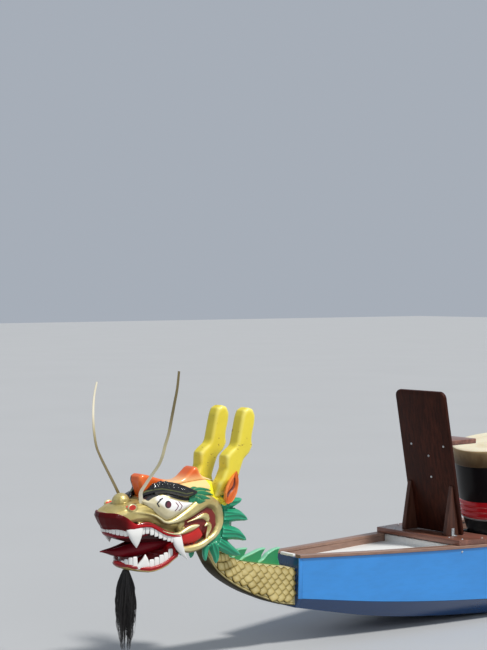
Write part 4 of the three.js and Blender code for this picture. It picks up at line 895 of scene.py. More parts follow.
def inside_distance(points, outline):
    """Distance of each point from an outline, above zero inside it."""
    closed = [*outline, outline[0]]
    inside = np.zeros(len(points), bool)
    for (x0, y0), (x1, y1) in zip(closed, closed[1:]):
        if y0 == y1:
            continue
        crosses = (y0 > points[:, 1]) != (y1 > points[:, 1])
        at = x0 + (points[:, 1] - y0) * (x1 - x0) / (y1 - y0)
        inside ^= crosses & (points[:, 0] < at)
    distance = distance_to_line(points, closed)
    return np.where(inside, distance, -distance)


def share_past(values, start, run):
    """How far values have passed a start, from 0 there to 1 a run further on, which may be below it."""
    return np.clip((values - start) / run, 0, 1)


def least(*values):
    return np.minimum.reduce(np.broadcast_arrays(*values))


def read_off(values, table):
    """Numbers read off a table of pairs, straight between its rows."""
    return np.interp(values, *zip(*sorted(table)))


def store(mesh, name, values):
    """Keep one number for each point of the mesh, for its material to read."""
    made = mesh.attributes.new(name, "FLOAT", "POINT")
    made.data.foreach_set("value", np.asarray(values, dtype=np.float32))


def store_hollows(mesh, reach=3):
    """Hollow, below zero, or ridge, above zero, at each point, from how it lies among its neighbours, for
    painted shade in hollows and painted highlights on ridges.
    """
    points = mesh_points(mesh)
    edges = np.empty(len(mesh.edges) * 2, dtype=np.int64)
    mesh.edges.foreach_get("vertices", edges)
    one, other = edges.reshape(-1, 2).T
    count = np.bincount(np.concatenate([one, other]), minlength=len(points))[:, None]

    def averaged(values):
        total = np.zeros_like(values)
        np.add.at(total, one, values[other])
        np.add.at(total, other, values[one])
        return total / count

    near = points
    for _ in range(reach * 4):
        near = averaged(near)
    height = np.einsum("ij,ij->i", points - near, normals(mesh))[:, None]
    for _ in range(reach):
        height = averaged(height)
    store(mesh, "hollow", height[:, 0] / MM)


def store_underside(mesh, gain, less, most):
    """How far the surface turns down at each point, for the painted shade there."""
    store(mesh, "under", np.clip(-normals(mesh)[:, 2] * gain - less, 0, most))


# Gold paint in five tones: dull, bright, a painted highlight on ridges, a painted shade in hollows and a
# painted shade on the underside
GOLD_METAL = 0.5
HEAD_GOLD = (
    (0.5, 0.39, 0.13), (0.68, 0.57, 0.25), (0.92, 0.85, 0.55), (0.15, 0.1, 0.02), (0.13, 0.09, 0.025),
)
SCALE_GOLD = (
    (0.4, 0.29, 0.085), (0.66, 0.51, 0.19), (0.98, 0.84, 0.44), (0.035, 0.022, 0.004),
    (0.026, 0.018, 0.003),
)

# What is painted over the gold, by the areas kept on each carving
HEAD_AREAS = (
    ("recess", (0.19, 0.02, 0.014)), ("cheek_red", (0.5, 0.018, 0.014)), ("mouth", (0.04, 0.002, 0.003)),
    # Black lid paint, which also paints the brow's shadow on the face
    ("lid", (0.014, 0.014, 0.015)), ("nape", (0.011, 0.28, 0.14)),
    ("yellow", (0.86, 0.76, 0.03)), ("orange", (0.8, 0.18, 0.025)), ("peach", (0.92, 0.62, 0.27)),
    ("nostril", (0.72, 0.05, 0.03)),
)
JAW_AREAS = (("mouth", (0.045, 0.002, 0.003)), ("lip_red", (0.36, 0.006, 0.01)))


# Shader nodes

class Shader:
    """A material under construction: a Principled surface and the nodes that feed it."""

    def __init__(self, name):
        self.material = bpy.data.materials.new(name)
        self.material.use_nodes = True
        self.tree = self.material.node_tree
        self.tree.nodes.clear()
        self.surface = self.node("ShaderNodeBsdfPrincipled")
        self.node("ShaderNodeOutputMaterial", {"Surface": self.surface.outputs["BSDF"]})
        self.place = self.node("ShaderNodeTexCoord").outputs["Object"]

    def feed(self, socket, value):
        """Wire a socket to another one, or set it to a number or colour."""
        if isinstance(value, bpy.types.NodeSocket):
            self.tree.links.new(value, socket)
        elif socket.type == "RGBA":
            socket.default_value = (*value, 1)
        else:
            socket.default_value = value

    def node(self, kind, sockets=None, **values):
        """Add a node with its settings, and feed its sockets by name or number."""
        made = self.tree.nodes.new(kind)
        for key, value in values.items():
            setattr(made, key, value)
        for key, value in (sockets or {}).items():
            self.feed(made.inputs[key], value)
        return made

    def set(self, **values):
        for key, value in values.items():
            self.feed(self.surface.inputs[key.replace("_", " ")], value)
        return self

    def noise(self, scale, detail, stretch=None, rough=0.55, distort=0):
        vector = self.place
        if stretch:
            vector = self.node("ShaderNodeMapping", {"Vector": vector, "Scale": stretch}).outputs["Vector"]
        return self.node("ShaderNodeTexNoise", {
            "Vector": vector, "Scale": scale, "Detail": detail, "Roughness": rough, "Distortion": distort,
        }).outputs["Fac"]

    def ramp(self, source, stops):
        made = self.node("ShaderNodeValToRGB", {"Fac": source})
        ramp = made.color_ramp
        while len(ramp.elements) < len(stops):
            ramp.elements.new(0.5)
        for element, (at, colour) in zip(ramp.elements, stops):
            element.position = at
            element.color = (*colour, 1)
        return made.outputs["Color"]

    def remap(self, source, low, high, to_low=0, to_high=1, smooth=True):
        return self.node("ShaderNodeMapRange", {
            "Value": source, "From Min": low, "From Max": high, "To Min": to_low, "To Max": to_high,
        }, interpolation_type="SMOOTHSTEP" if smooth else "LINEAR").outputs["Result"]

    def math(self, operation, one, other=0):
        return self.node("ShaderNodeMath", {0: one, 1: other}, operation=operation).outputs[0]

    def mix(self, factor, one, other):
        return self.node("ShaderNodeMix", {0: factor, 6: one, 7: other}, data_type="RGBA").outputs[2]

    def attribute(self, name):
        return self.node("ShaderNodeAttribute", attribute_name=name).outputs["Fac"]

    def painted(self, tone, area, colour, edge):
        """A tone with a colour laid over it inside an area, which fades across its edge in millimetres."""
        return self.mix(self.remap(self.attribute(area), -edge, edge), tone, colour)

    def rough(self, source, low, high):
        self.feed(self.surface.inputs["Roughness"], self.remap(source, 0, 1, low, high, smooth=False))
        return self

    def bump(self, source, distance, strength):
        made = self.node("ShaderNodeBump", {"Strength": strength, "Distance": distance, "Height": source})
        return self.set(Normal=made.outputs["Normal"])


def shade(colour, by):
    return tuple(min(1, c * by) for c in colour)


def gloss_paint(name, colour, rough=0.2, worn=0.25, coat=0.4, specular=0.5):
    """Gloss paint over planed wood: faint grain, soft waves and dull patches."""
    made = Shader(name)
    cloud = made.noise(3, 5, stretch=(0.4, 1, 1))
    grain = made.noise(60, 4, stretch=(0.03, 1, 1))
    dull, pale = shade(colour, 1 - worn * 0.5), shade(colour, 1 + worn * 0.45)
    tone = made.ramp(cloud, [(0.3, dull), (0.55, colour), (0.8, pale)])
    tone = made.mix(made.remap(grain, 0.35, 0.75, 0, 0.18), tone, shade(colour, 0.6))
    made.rough(cloud, rough * 0.7, rough * 1.6)
    made.bump(grain, 0.0006, 0.25)
    made.set(Base_Color=tone, Coat_Weight=coat, Coat_Roughness=0.08, Specular_IOR_Level=specular)
    return made.material


def timber(name, dark, light, along=0, rough=0.35, coat=0.3, board=0, specular=0.5):
    """Oiled or varnished timber with grain along one axis and boards of differing tone."""
    made = Shader(name)
    fine, coarse = [tuple(share if axis == along else 1 for axis in range(3)) for share in (0.045, 0.09)]
    grain = made.noise(70, 6, stretch=fine, rough=0.62, distort=0.4)
    broad = made.noise(9, 3, stretch=coarse, distort=0.8)
    figure = made.mix(made.remap(grain, 0.3, 0.72), dark, light)
    figure = made.mix(made.remap(broad, 0.38, 0.66, 0, 0.55), figure, shade(dark, 0.72))
    if board:
        axes = made.node("ShaderNodeSeparateXYZ", {0: made.place})
        cell = made.math("FLOOR", made.math("DIVIDE", axes.outputs[along], board))
        toned = made.node("ShaderNodeTexWhiteNoise", {"W": cell}, noise_dimensions="1D")
        figure = made.mix(made.remap(toned.outputs["Value"], 0, 1, 0, 0.5), figure, shade(light, 1.25))
    made.rough(grain, rough * 0.75, rough * 1.5)
    made.bump(grain, 0.0008, 0.35)
    made.set(Base_Color=figure, Coat_Weight=coat, Coat_Roughness=0.12, Specular_IOR_Level=specular)
    return made.material


def metal(name, colour, rough=0.4, spangle=45):
    """Galvanised metal with a mottled skin."""
    made = Shader(name)
    cells = made.node("ShaderNodeTexVoronoi", {"Vector": made.place, "Scale": spangle})
    fine = made.noise(180, 3)
    tone = made.mix(made.remap(cells.outputs["Distance"], 0, 0.8), shade(colour, 0.8), shade(colour, 1.12))
    made.rough(fine, rough * 0.7, rough * 1.4)
    made.bump(fine, 0.0004, 0.3)
    return made.set(Base_Color=tone, Metallic=0.9).material


def floor_material():
    made = Shader("pale_floor")
    tone = made.mix(made.noise(0.6, 2), (0.42, 0.43, 0.44), (0.45, 0.46, 0.47))
    return made.set(Base_Color=tone, Roughness=0.65, Specular_IOR_Level=0.2).material


def carved_gold(name, areas=(), tones=HEAD_GOLD, coat=0.15, specular=0.3):
    """Metallic gold paint with painted light: a pale highlight on ridges and olive shade in hollows and
    below, with painted areas laid over it.
    """
    dull, bright, pale, deep, below = tones
    made = Shader(name)
    brush = made.noise(45, 4, stretch=(0.35, 1, 1))
    hollow, under = made.attribute("hollow"), made.attribute("under")
    gold = made.mix(made.remap(made.noise(11, 4), 0.3, 0.7), dull, bright)
    # Painted shade in the hollows, then a painted highlight on the ridges
    gold = made.mix(made.remap(hollow, -2.2, 0.3, 1, 0), gold, deep)
    gold = made.mix(made.remap(hollow, 0.6, 2.6, 0, 0.75), gold, pale)
    # Painted shade on faces that turn down
    gold = made.mix(under, gold, below)
    # The paint areas and the painted shade below are not metallic
    painted = under
    for area, colour in areas:
        amount = made.remap(made.attribute(area), -0.8, 0.8)
        gold = made.mix(amount, gold, colour)
        painted = made.math("MAXIMUM", painted, amount)
    made.set(Metallic=made.remap(painted, 0, 1, GOLD_METAL, 0, smooth=False))
    made.rough(made.math("ADD", brush, made.math("MULTIPLY", under, 2)), 0.26, 0.5)
    made.bump(brush, 0.0012, 0.3)
    made.set(Base_Color=gold, Coat_Weight=coat, Coat_Roughness=0.12, Specular_IOR_Level=specular)
    return made.material


def brushed_paint(name, colour, light, rough=0.3, coat=0.35, streak=0.25, areas=(), chips=None, specular=0.4):
    """Hand-brushed gloss paint on carved wood, with painted shade in its hollows and a painted highlight on
    its edges.
    """
    made = Shader(name)
    brush = made.noise(38, 4, stretch=(0.6, 1, 1))
    patch = made.noise(9, 4)
    hollow = made.attribute("hollow")
    tone = made.mix(made.remap(patch, 0.3, 0.7, 0, streak), colour, shade(colour, 0.6))
    # Painted shade in the hollows, then a painted highlight in the light colour on the ridges
    tone = made.mix(made.remap(hollow, -2.5, 0, 0.8, 0), tone, shade(colour, 0.35))
    tone = made.mix(made.remap(hollow, 0.4, 2.4, 0, 0.8), tone, light)
    for area, edge, other in areas:
        tone = made.painted(tone, area, other, edge)
    if chips:
        knocked = made.remap(made.noise(34, 5), 0.64, 0.665)
        tone = made.mix(made.math("MULTIPLY", knocked, made.remap(patch, 0.45, 0.6)), tone, chips)
    made.rough(brush, rough * 0.7, rough * 1.5)
    made.bump(brush, 0.001, 0.3)
    made.set(Base_Color=tone, Coat_Weight=coat, Coat_Roughness=0.1, Specular_IOR_Level=specular)
    return made.material


def eye_paint(name):
    """The eye's bulge: white above, fading to grey gold below and darkened lower down as painted shade, with
    a painted iris and lines.
    """
    made = Shader(name)
    patch = made.noise(14, 4)
    base = made.mix(made.remap(patch, 0.3, 0.7), (0.56, 0.49, 0.29), (0.7, 0.63, 0.42))
    # Painted shade darkening the bulge's lower part
    base = made.mix(made.remap(made.attribute("lower"), 0, 60, 0, 0.7), base, (0.42, 0.35, 0.17))
    tone = made.mix(made.remap(made.attribute("white"), -14, 5), base, (0.9, 0.89, 0.86))
    for area, edge, colour in (
        ("purple", 0.6, (0.16, 0.035, 0.075)), ("black", 0.6, (0.02, 0.02, 0.022)),
        ("iris_rim", 0.7, (0.015, 0.012, 0.014)), ("iris", 0.7, (0.115, 0.018, 0.035)),
        # Black lid, which also paints the brow's shadow on the eye
        ("lid", 0.7, (0.014, 0.014, 0.015)),
    ):
        tone = made.painted(tone, area, colour, edge)
    made.rough(patch, 0.22, 0.38)
    made.bump(patch, 0.0008, 0.2)
    return made.set(Base_Color=tone, Coat_Weight=0.4, Coat_Roughness=0.1).material


def stretched_hide(name, pale, stained, handled):
    """Drum hide: pale and a little waxy, with soft stains and fine pores, and darker downward as painted
    shade.
    """
    made = Shader(name)
    stain = made.noise(6, 5, rough=0.6, distort=0.6)
    fine = made.noise(260, 3)
    tone = made.mix(made.remap(stain, 0.42, 0.72), pale, stained)
    # Painted shade: the hide darkens below a height
    tone = made.mix(made.remap(made.attribute("handled"), -60, 45, 0, 0.85), tone, handled)
    tone = made.mix(made.remap(fine, 0.4, 0.8, 0, 0.2), tone, shade(stained, 0.8))
    made.rough(fine, 0.38, 0.6)
    made.bump(fine, 0.0004, 0.3)
    return made.set(Base_Color=tone, Subsurface_Weight=0.06, Specular_IOR_Level=0.18).material


def horsehair(name):
    """Horsehair: black, with a faint brown from strand to strand."""
    made = Shader(name)
    streak = made.noise(220, 2, stretch=(1, 1, 0.05))
    made.rough(streak, 0.32, 0.5)
    tone = made.mix(streak, (0.004, 0.004, 0.005), (0.022, 0.017, 0.015))
    return made.set(Base_Color=tone, Specular_IOR_Level=0.6).material


MATERIALS = {}

# Each finish: what makes it, and its own colours and measures. In brushed paint, light is the painted
# highlight on ridges
FINISHES = {
    "rail_teak": (timber, dict(dark=(0.12, 0.058, 0.04), light=(0.27, 0.155, 0.11), rough=0.42, board=1.9)),
    "seat_varnish": (timber, dict(
        dark=(0.024, 0.0052, 0.0026), light=(0.062, 0.015, 0.0075), along=2, rough=0.42, coat=0.03,
        specular=0.12,
    )),
    "gusset_varnish": (timber, dict(
        dark=(0.045, 0.016, 0.01), light=(0.12, 0.046, 0.028), along=2, rough=0.4, coat=0.1, specular=0.3,
    )),
    "base_varnish": (timber, dict(dark=(0.14, 0.054, 0.036), light=(0.31, 0.13, 0.085), along=1, rough=0.3)),
    "bench_varnish": (timber, dict(
        dark=(0.06, 0.02, 0.012), light=(0.19, 0.07, 0.04), along=1, rough=0.25, coat=0.6,
    )),
    "beam_teak": (timber, dict(dark=(0.13, 0.055, 0.03), light=(0.32, 0.16, 0.09), along=1, rough=0.4)),
    "bare_pine": (timber, dict(dark=(0.52, 0.36, 0.19), light=(0.8, 0.64, 0.41), rough=0.5, coat=0.15)),
    "galvanised": (metal, dict(colour=(0.55, 0.57, 0.58))),
    "carved_gold": (carved_gold, dict(areas=HEAD_AREAS)),
    "jaw_gold": (carved_gold, dict(areas=JAW_AREAS)),
    "scale_gold": (carved_gold, dict(tones=SCALE_GOLD, coat=0, specular=0.08)),
    "eye_paint": (eye_paint, {}),
    # Lip: a dark crimson as painted shade on its front, a lit red on its flank
    "lip_crimson": (brushed_paint, dict(
        colour=(0.085, 0.0015, 0.002), light=(0.15, 0.004, 0.005), coat=0.08, specular=0.12,
        areas=(("flank", 30, (0.36, 0.008, 0.012)),),
    )),
    "gum_red": (brushed_paint, dict(
        colour=(0.26, 0.006, 0.008), light=(0.46, 0.03, 0.03), rough=0.2, coat=0.3,
    )),
    "cheek_fold_red": (brushed_paint, dict(colour=(0.5, 0.018, 0.014), light=(0.56, 0.03, 0.02), coat=0.15)),
    "tongue_crimson": (brushed_paint, dict(
        colour=(0.1, 0.002, 0.006), light=(0.22, 0.008, 0.016), coat=0.08, specular=0.15,
    )),
    "tooth_ivory": (brushed_paint, dict(
        colour=(0.82, 0.81, 0.78), light=(0.92, 0.91, 0.89), rough=0.28, streak=0.12,
        # Grey towards each root, a painted shade where the tooth meets the gum
        areas=(("root", 0.15, (0.42, 0.38, 0.34)),),
    )),
    "crest_orange": (brushed_paint, dict(
        colour=(0.76, 0.12, 0.012), light=(0.9, 0.24, 0.06), rough=0.28,
        areas=(
            ("peach", 26, (0.94, 0.6, 0.27)), ("pale", 22, (0.93, 0.8, 0.44)),
            ("ink", 3, (0.014, 0.012, 0.013)),
        ),
    )),
    "ear_orange": (brushed_paint, dict(
        colour=(0.68, 0.13, 0.012), light=(0.9, 0.27, 0.05), areas=(("canal", 3, (0.13, 0.018, 0.008)),),
    )),
    "mane_green": (brushed_paint, dict(
        colour=(0.012, 0.29, 0.145), light=(0.06, 0.44, 0.28), rough=0.34, coat=0.2,
        areas=(("yellow", 0.8, (0.86, 0.76, 0.04)),),
    )),
    "leaf_green": (brushed_paint, dict(
        colour=(0.014, 0.21, 0.1), light=(0.08, 0.36, 0.2), areas=(("gilt", 2, (0.4, 0.48, 0.13)),),
    )),
    "fin_green": (brushed_paint, dict(
        colour=(0.022, 0.25, 0.095), light=(0.08, 0.36, 0.19), rough=0.34, coat=0.2,
        areas=(("rib", 3, (0.24, 0.6, 0.38)),),
    )),
    "brow_black": (brushed_paint, dict(
        colour=(0.006, 0.006, 0.007), light=(0.02, 0.02, 0.02), rough=0.12, coat=0.6,
        areas=(("line", 1, (0.11, 0.12, 0.035)),),
    )),
    "horn_yellow": (brushed_paint, dict(
        colour=(0.82, 0.67, 0.05), light=(0.92, 0.82, 0.24), rough=0.42, coat=0.1, chips=(0.2, 0.07, 0.02),
    )),
    "whisker_gilt": (brushed_paint, dict(
        colour=(0.66, 0.58, 0.34), light=(0.8, 0.74, 0.52),
        # The whisker's painted highlight and painted shade
        areas=(("bright", 60, (0.86, 0.8, 0.62)), ("dull", 110, (0.15, 0.115, 0.045))),
    )),
    "tassel_hair": (horsehair, {}),
    "drum_black": (gloss_paint, dict(colour=(0.012, 0.01, 0.011), rough=0.3, coat=0.04, specular=0.12)),
    "drum_red": (gloss_paint, dict(colour=(0.74, 0.016, 0.024), specular=0.3)),
    "drum_grey": (gloss_paint, dict(colour=(0.36, 0.33, 0.32), rough=0.35, coat=0.2)),
    # Each hide's last colour is its painted shade, darker downward
    "drum_hide": (stretched_hide, dict(
        pale=(0.82, 0.75, 0.56), stained=(0.68, 0.57, 0.37), handled=(0.3, 0.2, 0.1),
    )),
    "hide_rim": (stretched_hide, dict(
        pale=(0.46, 0.33, 0.17), stained=(0.24, 0.145, 0.065), handled=(0.06, 0.032, 0.014),
    )),
}


def build_materials(look):
    """The finishes, by the part of the boat that wears them, and the trees that repeat its small parts."""
    TREES.update({"copies": copies_tree(), "strands": strands_tree()})
    hull = {
        "hull_blue": (gloss_paint, dict(colour=tuple(look.hull_blue), rough=0.16, coat=0.7)),
        "hull_navy": (gloss_paint, dict(colour=tuple(look.hull_navy), rough=0.22)),
        "inside_white": (gloss_paint, dict(colour=tuple(look.inside_white), rough=0.4, worn=0.12, coat=0.1)),
    }
    for name, (maker, values) in {**hull, **FINISHES}.items():
        MATERIALS[name] = maker(name, **values)


# Pieces

def hull_values(x):
    """The hull's six line values at a distance x from amidships, on smooth curves."""
    at = min(abs(x), HALF_LENGTH)
    rows = HULL_LINES
    i = int(np.clip(np.searchsorted(rows[:, 0], at, side="right") - 1, 0, len(rows) - 2))

    def slope(n):
        if n == 0:
            return np.zeros(6)
        before, after = rows[n - 1], rows[min(n + 1, len(rows) - 1)]
        return (after[1:] - before[1:]) / (after[0] - before[0])

    span = rows[i + 1, 0] - rows[i, 0]
    t = (at - rows[i, 0]) / span
    start, end = rows[i, 1:], rows[i + 1, 1:]
    m0, m1 = slope(i) * span, slope(i + 1) * span
    return ((2 * t**3 - 3 * t**2 + 1) * start + (t**3 - 2 * t**2 + t) * m0
            + (3 * t**2 - 2 * t**3) * end + (t**3 - t**2) * m1)


def outer_line(x):
    gy, gz, cy, cz, fy, fz = hull_values(x)
    return [Vector((gy, gz)), Vector((cy, cz)), Vector((fy, fz)), Vector((0, fz))]


def inner_line(x, thick=STRAKE):
    """The outline moved in by the planks' thickness, mitred at each corner."""
    line = outer_line(x)
    edges = []
    for one, other in zip(line, line[1:]):
        run = (other - one).normalized()
        edges.append((one + Vector((run.y, -run.x)) * thick, run))

    def meet(first, second):
        (p, r), (q, s) = first, second
        cross = r.x * s.y - r.y * s.x
        return p + r * (((q - p).x * s.y - (q - p).y * s.x) / cross)

    start, run = edges[0]
    top = start + run * ((line[0].y - start.y) / run.y)
    return [top, meet(edges[0], edges[1]), meet(edges[1], edges[2]), Vector((0, edges[2][0].y))]


def section_ring(x, corners, ease):
    """A ring at x from (y, z) corners, each corner cut back by a small flat."""
    ring = []
    for i, corner in enumerate(corners):
        corner = Vector(corner)
        for other in (Vector(corners[i - 1]), Vector(corners[(i + 1) % len(corners)])):
            cut = corner + (other - corner).normalized() * ease
            ring.append((x, cut.x, cut.y))
    return ring


def long_member(name, end, corners_at, ease=0.0015, around=None):
    """A long timber that follows the hull from end to end, from its corners at each station."""
    rings = [section_ring(x, corners_at(x), ease) for x in np.linspace(-end, end, HULL_STATIONS)]
    return lofted_object(name, rings, PLANKED, around)


def plank_corners(index, side):
    """The corners of the plank below one of the hull's lines, at any station."""
    def at(x):
        outer, inner = outer_line(x), inner_line(x)
        ring = [outer[index], outer[index + 1], inner[index + 1], inner[index]]
        return [(side * p.x, p.y) for p in ring]
    return at


def bottom_corners(x):
    outer, inner = outer_line(x)[2], inner_line(x)[2]
    return [(-outer.x, outer.y), (outer.x, outer.y), (inner.x, inner.y), (-inner.x, inner.y)]


def rail_corners(side, outer, inner, start, end):
    return [(side * outer, start), (side * outer, end), (side * inner, end), (side * inner, start)]


def cap_corners(side):
    """The corners of a gunwale cap at any station."""
    def at(x):
        breadth, height = hull_values(x)[:2]
        outer, foot = breadth + CAP_PROUD, height + SEAT_GAP
        inner = outer - float(np.interp(abs(x), CAP_TAPER, (CAP_WIDTH, CAP_END)))
        return rail_corners(side, outer, inner, foot, foot + CAP_THICK)
    return at


def inner_breadth(x, z):
    """Half breadth inside the planks at a height z."""
    line = inner_line(x)
    for one, other in zip(line, line[1:]):
        if other.y <= z <= one.y and one.y != other.y:
            return one.x + (other.x - one.x) * (one.y - z) / (one.y - other.y)
    return line[0].x


def inwale_corners(side):
    """The corners of an inwale at any station."""
    def at(x):
        top = hull_values(x)[1] - INWALE_TOP_GAP
        outer = inner_breadth(x, top - INWALE_DEEP) - SEAT_GAP
        return rail_corners(side, outer, outer - INWALE_THICK, top, top - INWALE_DEEP)
    return at


def build_planking(radius):
    end = HALF_LENGTH - TRANSOM_THICK - SEAT_GAP
    # Round a plank's section, only the face that looks inboard is white
    painted = [0, 0, 0, 0, 0, 1, 0, 0]
    x, z = SIDE_BOLT
    for word, side in SIDES:
        plank = long_member(f"side_planking_{word}", end, plank_corners(0, side), around=painted)
        place_piece(plank, [f"side_plank_{word}"], ["hull_blue", "inside_white"])
        hole = landing(surface_of(plank.data), (x, CLEAR_OUT * side, z), (0, -side, 0))
        place_bolts(f"side_bolt_{word}", [hole], radius)
        plank = long_member(f"bilge_planking_{word}", end, plank_corners(1, side), around=painted)
        place_piece(plank, [f"bilge_plank_{word}"], ["hull_navy", "inside_white"])
    plank = long_member("bottom_planking", end, bottom_corners, around=painted)
    place_piece(plank, ["bottom_plank"], ["hull_navy", "inside_white"])


def build_rails():
    end = HALF_LENGTH - TRANSOM_THICK - INWALE_END_GAP
    for word, side in SIDES:
        rail = long_member(f"gunwale_rail_{word}", HALF_LENGTH, cap_corners(side), CAP_EASE)
        place_piece(rail, [f"gunwale_cap_{word}"], ["rail_teak"])
        rail = long_member(f"inner_rail_{word}", end, inwale_corners(side), INWALE_EASE)
        place_piece(rail, [f"inwale_{word}"], ["rail_teak"])


def build_fitout():
    for node in ("seat_riser_port", "seat_riser_starboard", "keelson_ribs"):
        eased_piece(node, f"{node}_painted", "inside_white", WHITE_ROUND)
    for node in ("bow_deck", "stern_deck"):
        deck = eased_piece(node, f"{node}_painted", "inside_white", WHITE_ROUND)
        move_points(deck.data, up=np.where(normals(deck.data)[:, 2] > 0, DECK_CROWN, 0))
    for name, (low, high) in WHITE_BLOCKS.items():
        block = lofted_object(name, box_rings(low, high), ease=BLOCK_ROUND)
        place_piece(block, [], ["inside_white"])
    for node in ("bow_transom", "stern_transom"):
        board = eased_piece(node, f"{node}_board", "hull_navy", TRANSOM_ROUND)
        board.data.materials.append(MATERIALS["hull_blue"])
        for face in board.data.polygons:
            face.material_index = 1 if abs(face.normal.y) > SIDEWAYS and face.center.z > CHINE_AT_END else 0
    for word, side in SIDES:
        for end, x in (("bow", HALF_LENGTH), ("stern", -HALF_LENGTH)):
            path = [(x, side * p.x, p.y) for p in outer_line(HALF_LENGTH)[:2]]
            bead = new_object(f"corner_bead_{end}_{word}", rod("bead", path, [BEAD_RADIUS] * 2))
            place_piece(bead, [], ["hull_blue"])
    for number in range(1, 10):
        eased_piece(f"bench_{number}", f"thwart_{number}", "bench_varnish", BENCH_ROUND)


def bolt_pattern():
    """A round-headed bolt on its washer, one unit in radius, its shank end below the surface."""
    angles = round_angles(BOLT_SIDES)
    rings = [[(r * math.cos(a), r * math.sin(a), z) for a in angles] for r, z in BOLT_PROFILE]
    return skinned("bolt_pattern", rings)


def place_bolts(name, places, radius):
    """Galvanised bolt heads on places given by a point and the way its surface faces."""
    turns = [(place, upright_turn(facing, BOLT_FRONT), (radius,) * 3) for place, facing in places]
    mesh = spread_copies(bolt_pattern(), turns, "galvanised", **BOLTS_UNEVEN)
    shade_smooth(mesh)
    place_piece(new_object(name, mesh), [], ["galvanised"])


def angle_bracket(name, side):
    """A folded steel bracket from the base plank up the outer face of a gusset."""
    x, z = BRACKET_AT
    section = [
        (0, 0), (BRACKET_OUT, 0), (BRACKET_OUT, BRACKET_THICK), (BRACKET_THICK, BRACKET_THICK),
        (BRACKET_THICK, BRACKET_UP), (0, BRACKET_UP),
    ]
    rings = [[(end, side * (GUSSET_FACE + out), z + up) for out, up in section]
             for end in (x - BRACKET_HALF, x + BRACKET_HALF)]
    bracket = lofted_object(name, rings, ease=0.0008, segments=2)
    place_piece(bracket, [], ["galvanised"])


def build_seat(fittings):
    slot, width = "dark_varnish", fittings.plank_round
    base = eased_piece("seat_base", "seat_base_plank", "base_varnish", width)
    board = eased_piece("back_board", "back_board_varnished", "seat_varnish", fittings.board_round)
    for node, finish in (("gusset_port", "gusset"), ("gusset_starboard", "gusset"), ("seat_plank", "base")):
        eased_piece(node, f"{node}_varnished", f"{finish}_varnish", width)
    front, top = surface_of(board.data), surface_of(base.data)
    places = [landing(front, (CLEAR_AHEAD, y, z), (-1, 0, 0)) for y, z in BOARD_BOLTS]
    places += [landing(top, (x, side * y, CLEAR_ABOVE), (0, 0, -1))
               for x, y in BASE_BOLTS for _, side in SIDES]
    place_bolts("seat_bolts", places, fittings.bolt_radius)
    for word, side in SIDES:
        angle_bracket(f"seat_bracket_{word}", side)
    x, z = BRACKET_AT
    out, thick = GUSSET_FACE, BRACKET_THICK
    up = [((x, side * (out + thick), z + BRACKET_BOLT_UP), (0, side, 0)) for _, side in SIDES]
    flat = [((x, side * (out + BRACKET_BOLT_OUT), z + thick), (0, 0, 1)) for _, side in SIDES]
    place_bolts("bracket_bolts", up + flat, fittings.bolt_radius * BRACKET_BOLT_SHARE)


def build_drum():
    """The drum in its own tilted frame: a hide pulled over a black shell with red bands."""
    tilt = Matrix.Translation(DRUM_PLACE) @ Matrix.Rotation(DRUM_TILT, 4, "Y")
    marks = [sum((low + high) / 2 < edge for edge in DRUM_BANDS)
             for (_, low), (_, high) in zip(DRUM_SHELL, DRUM_SHELL[1:])]
    shell = turned("drum_shell_turned", DRUM_SHELL, marks)
    shell.transform(tilt)
    place_piece(new_object("drum_shell_turned", shell), ["drum_shell"], DRUM_PAINTS)
    marks = [int(min(low, high) < DRUM_HIDE_TOP and max(r, q) > DRUM_HIDE_INSIDE)
             for (r, low), (q, high) in zip(DRUM_SKIN, DRUM_SKIN[1:])]
    skin = turned("drum_hide", DRUM_SKIN, marks)
    # How far below the painted shade's starting height each point lies
    store(skin, "handled", DRUM_SHADE_FROM - mesh_points(skin)[:, 2] / MM)
    skin.transform(tilt)
    place_piece(new_object("drum_hide", skin), ["drum_head"], ["drum_hide", "hide_rim"])
    eased_piece("drum_stand", "drum_cradle", "drum_black", CRADLE_ROUND)


def build_steering(fittings):
    eased_piece("steering_beam", "steering_beam_timber", "beam_teak", fittings.plank_round)
    eased_piece("rowlock", "rowlock_fork", "galvanised", FORK_ROUND, "rowlock")
    eased_piece("oar_collar", "collar_ring", "galvanised", COLLAR_ROUND, "oar_collar")
    made = softened_copy("steering_oar", "sweep_oar", *OAR_SKIN)
    place_piece(made, ["steering_oar"], ["bare_pine"], "oar")


# Neck and tail

def board_values(rows, x):
    """Lowest point, highest point and half thickness of a carved board at x."""
    order = np.argsort(rows[:, 0])
    return [float(np.interp(x, rows[order, 0], rows[order, n])) for n in (1, 2, 3)]


def board_section(low, high, half):
    """Half of a board's section from keel to back: a low belly roll, a flat side and a smooth back."""
    deep = min(1, (high - low) / BOARD_FULL_DEPTH) * MM
    keel = [(half * share + more * MM, low + up * deep) for share, more, up in BOARD_KEEL]
    return keel + [(half * share + more * MM, high - down * deep) for share, more, down in BOARD_BACK]


def board_loft(name, rows):
    rings = []
    for x, low, high, half in smooth_rows(rows, BOARD_STEPS):
        side = board_section(low, high, half)
        mirrored = [(-y, z) for y, z in reversed(side[1:-1])]
        rings.append([(x, y, z) for y, z in side + mirrored])
    mesh = skinned(name, rings)
    store_hollows(mesh, 1)
    store_underside(mesh, *BOARD_UNDER)
    return mesh


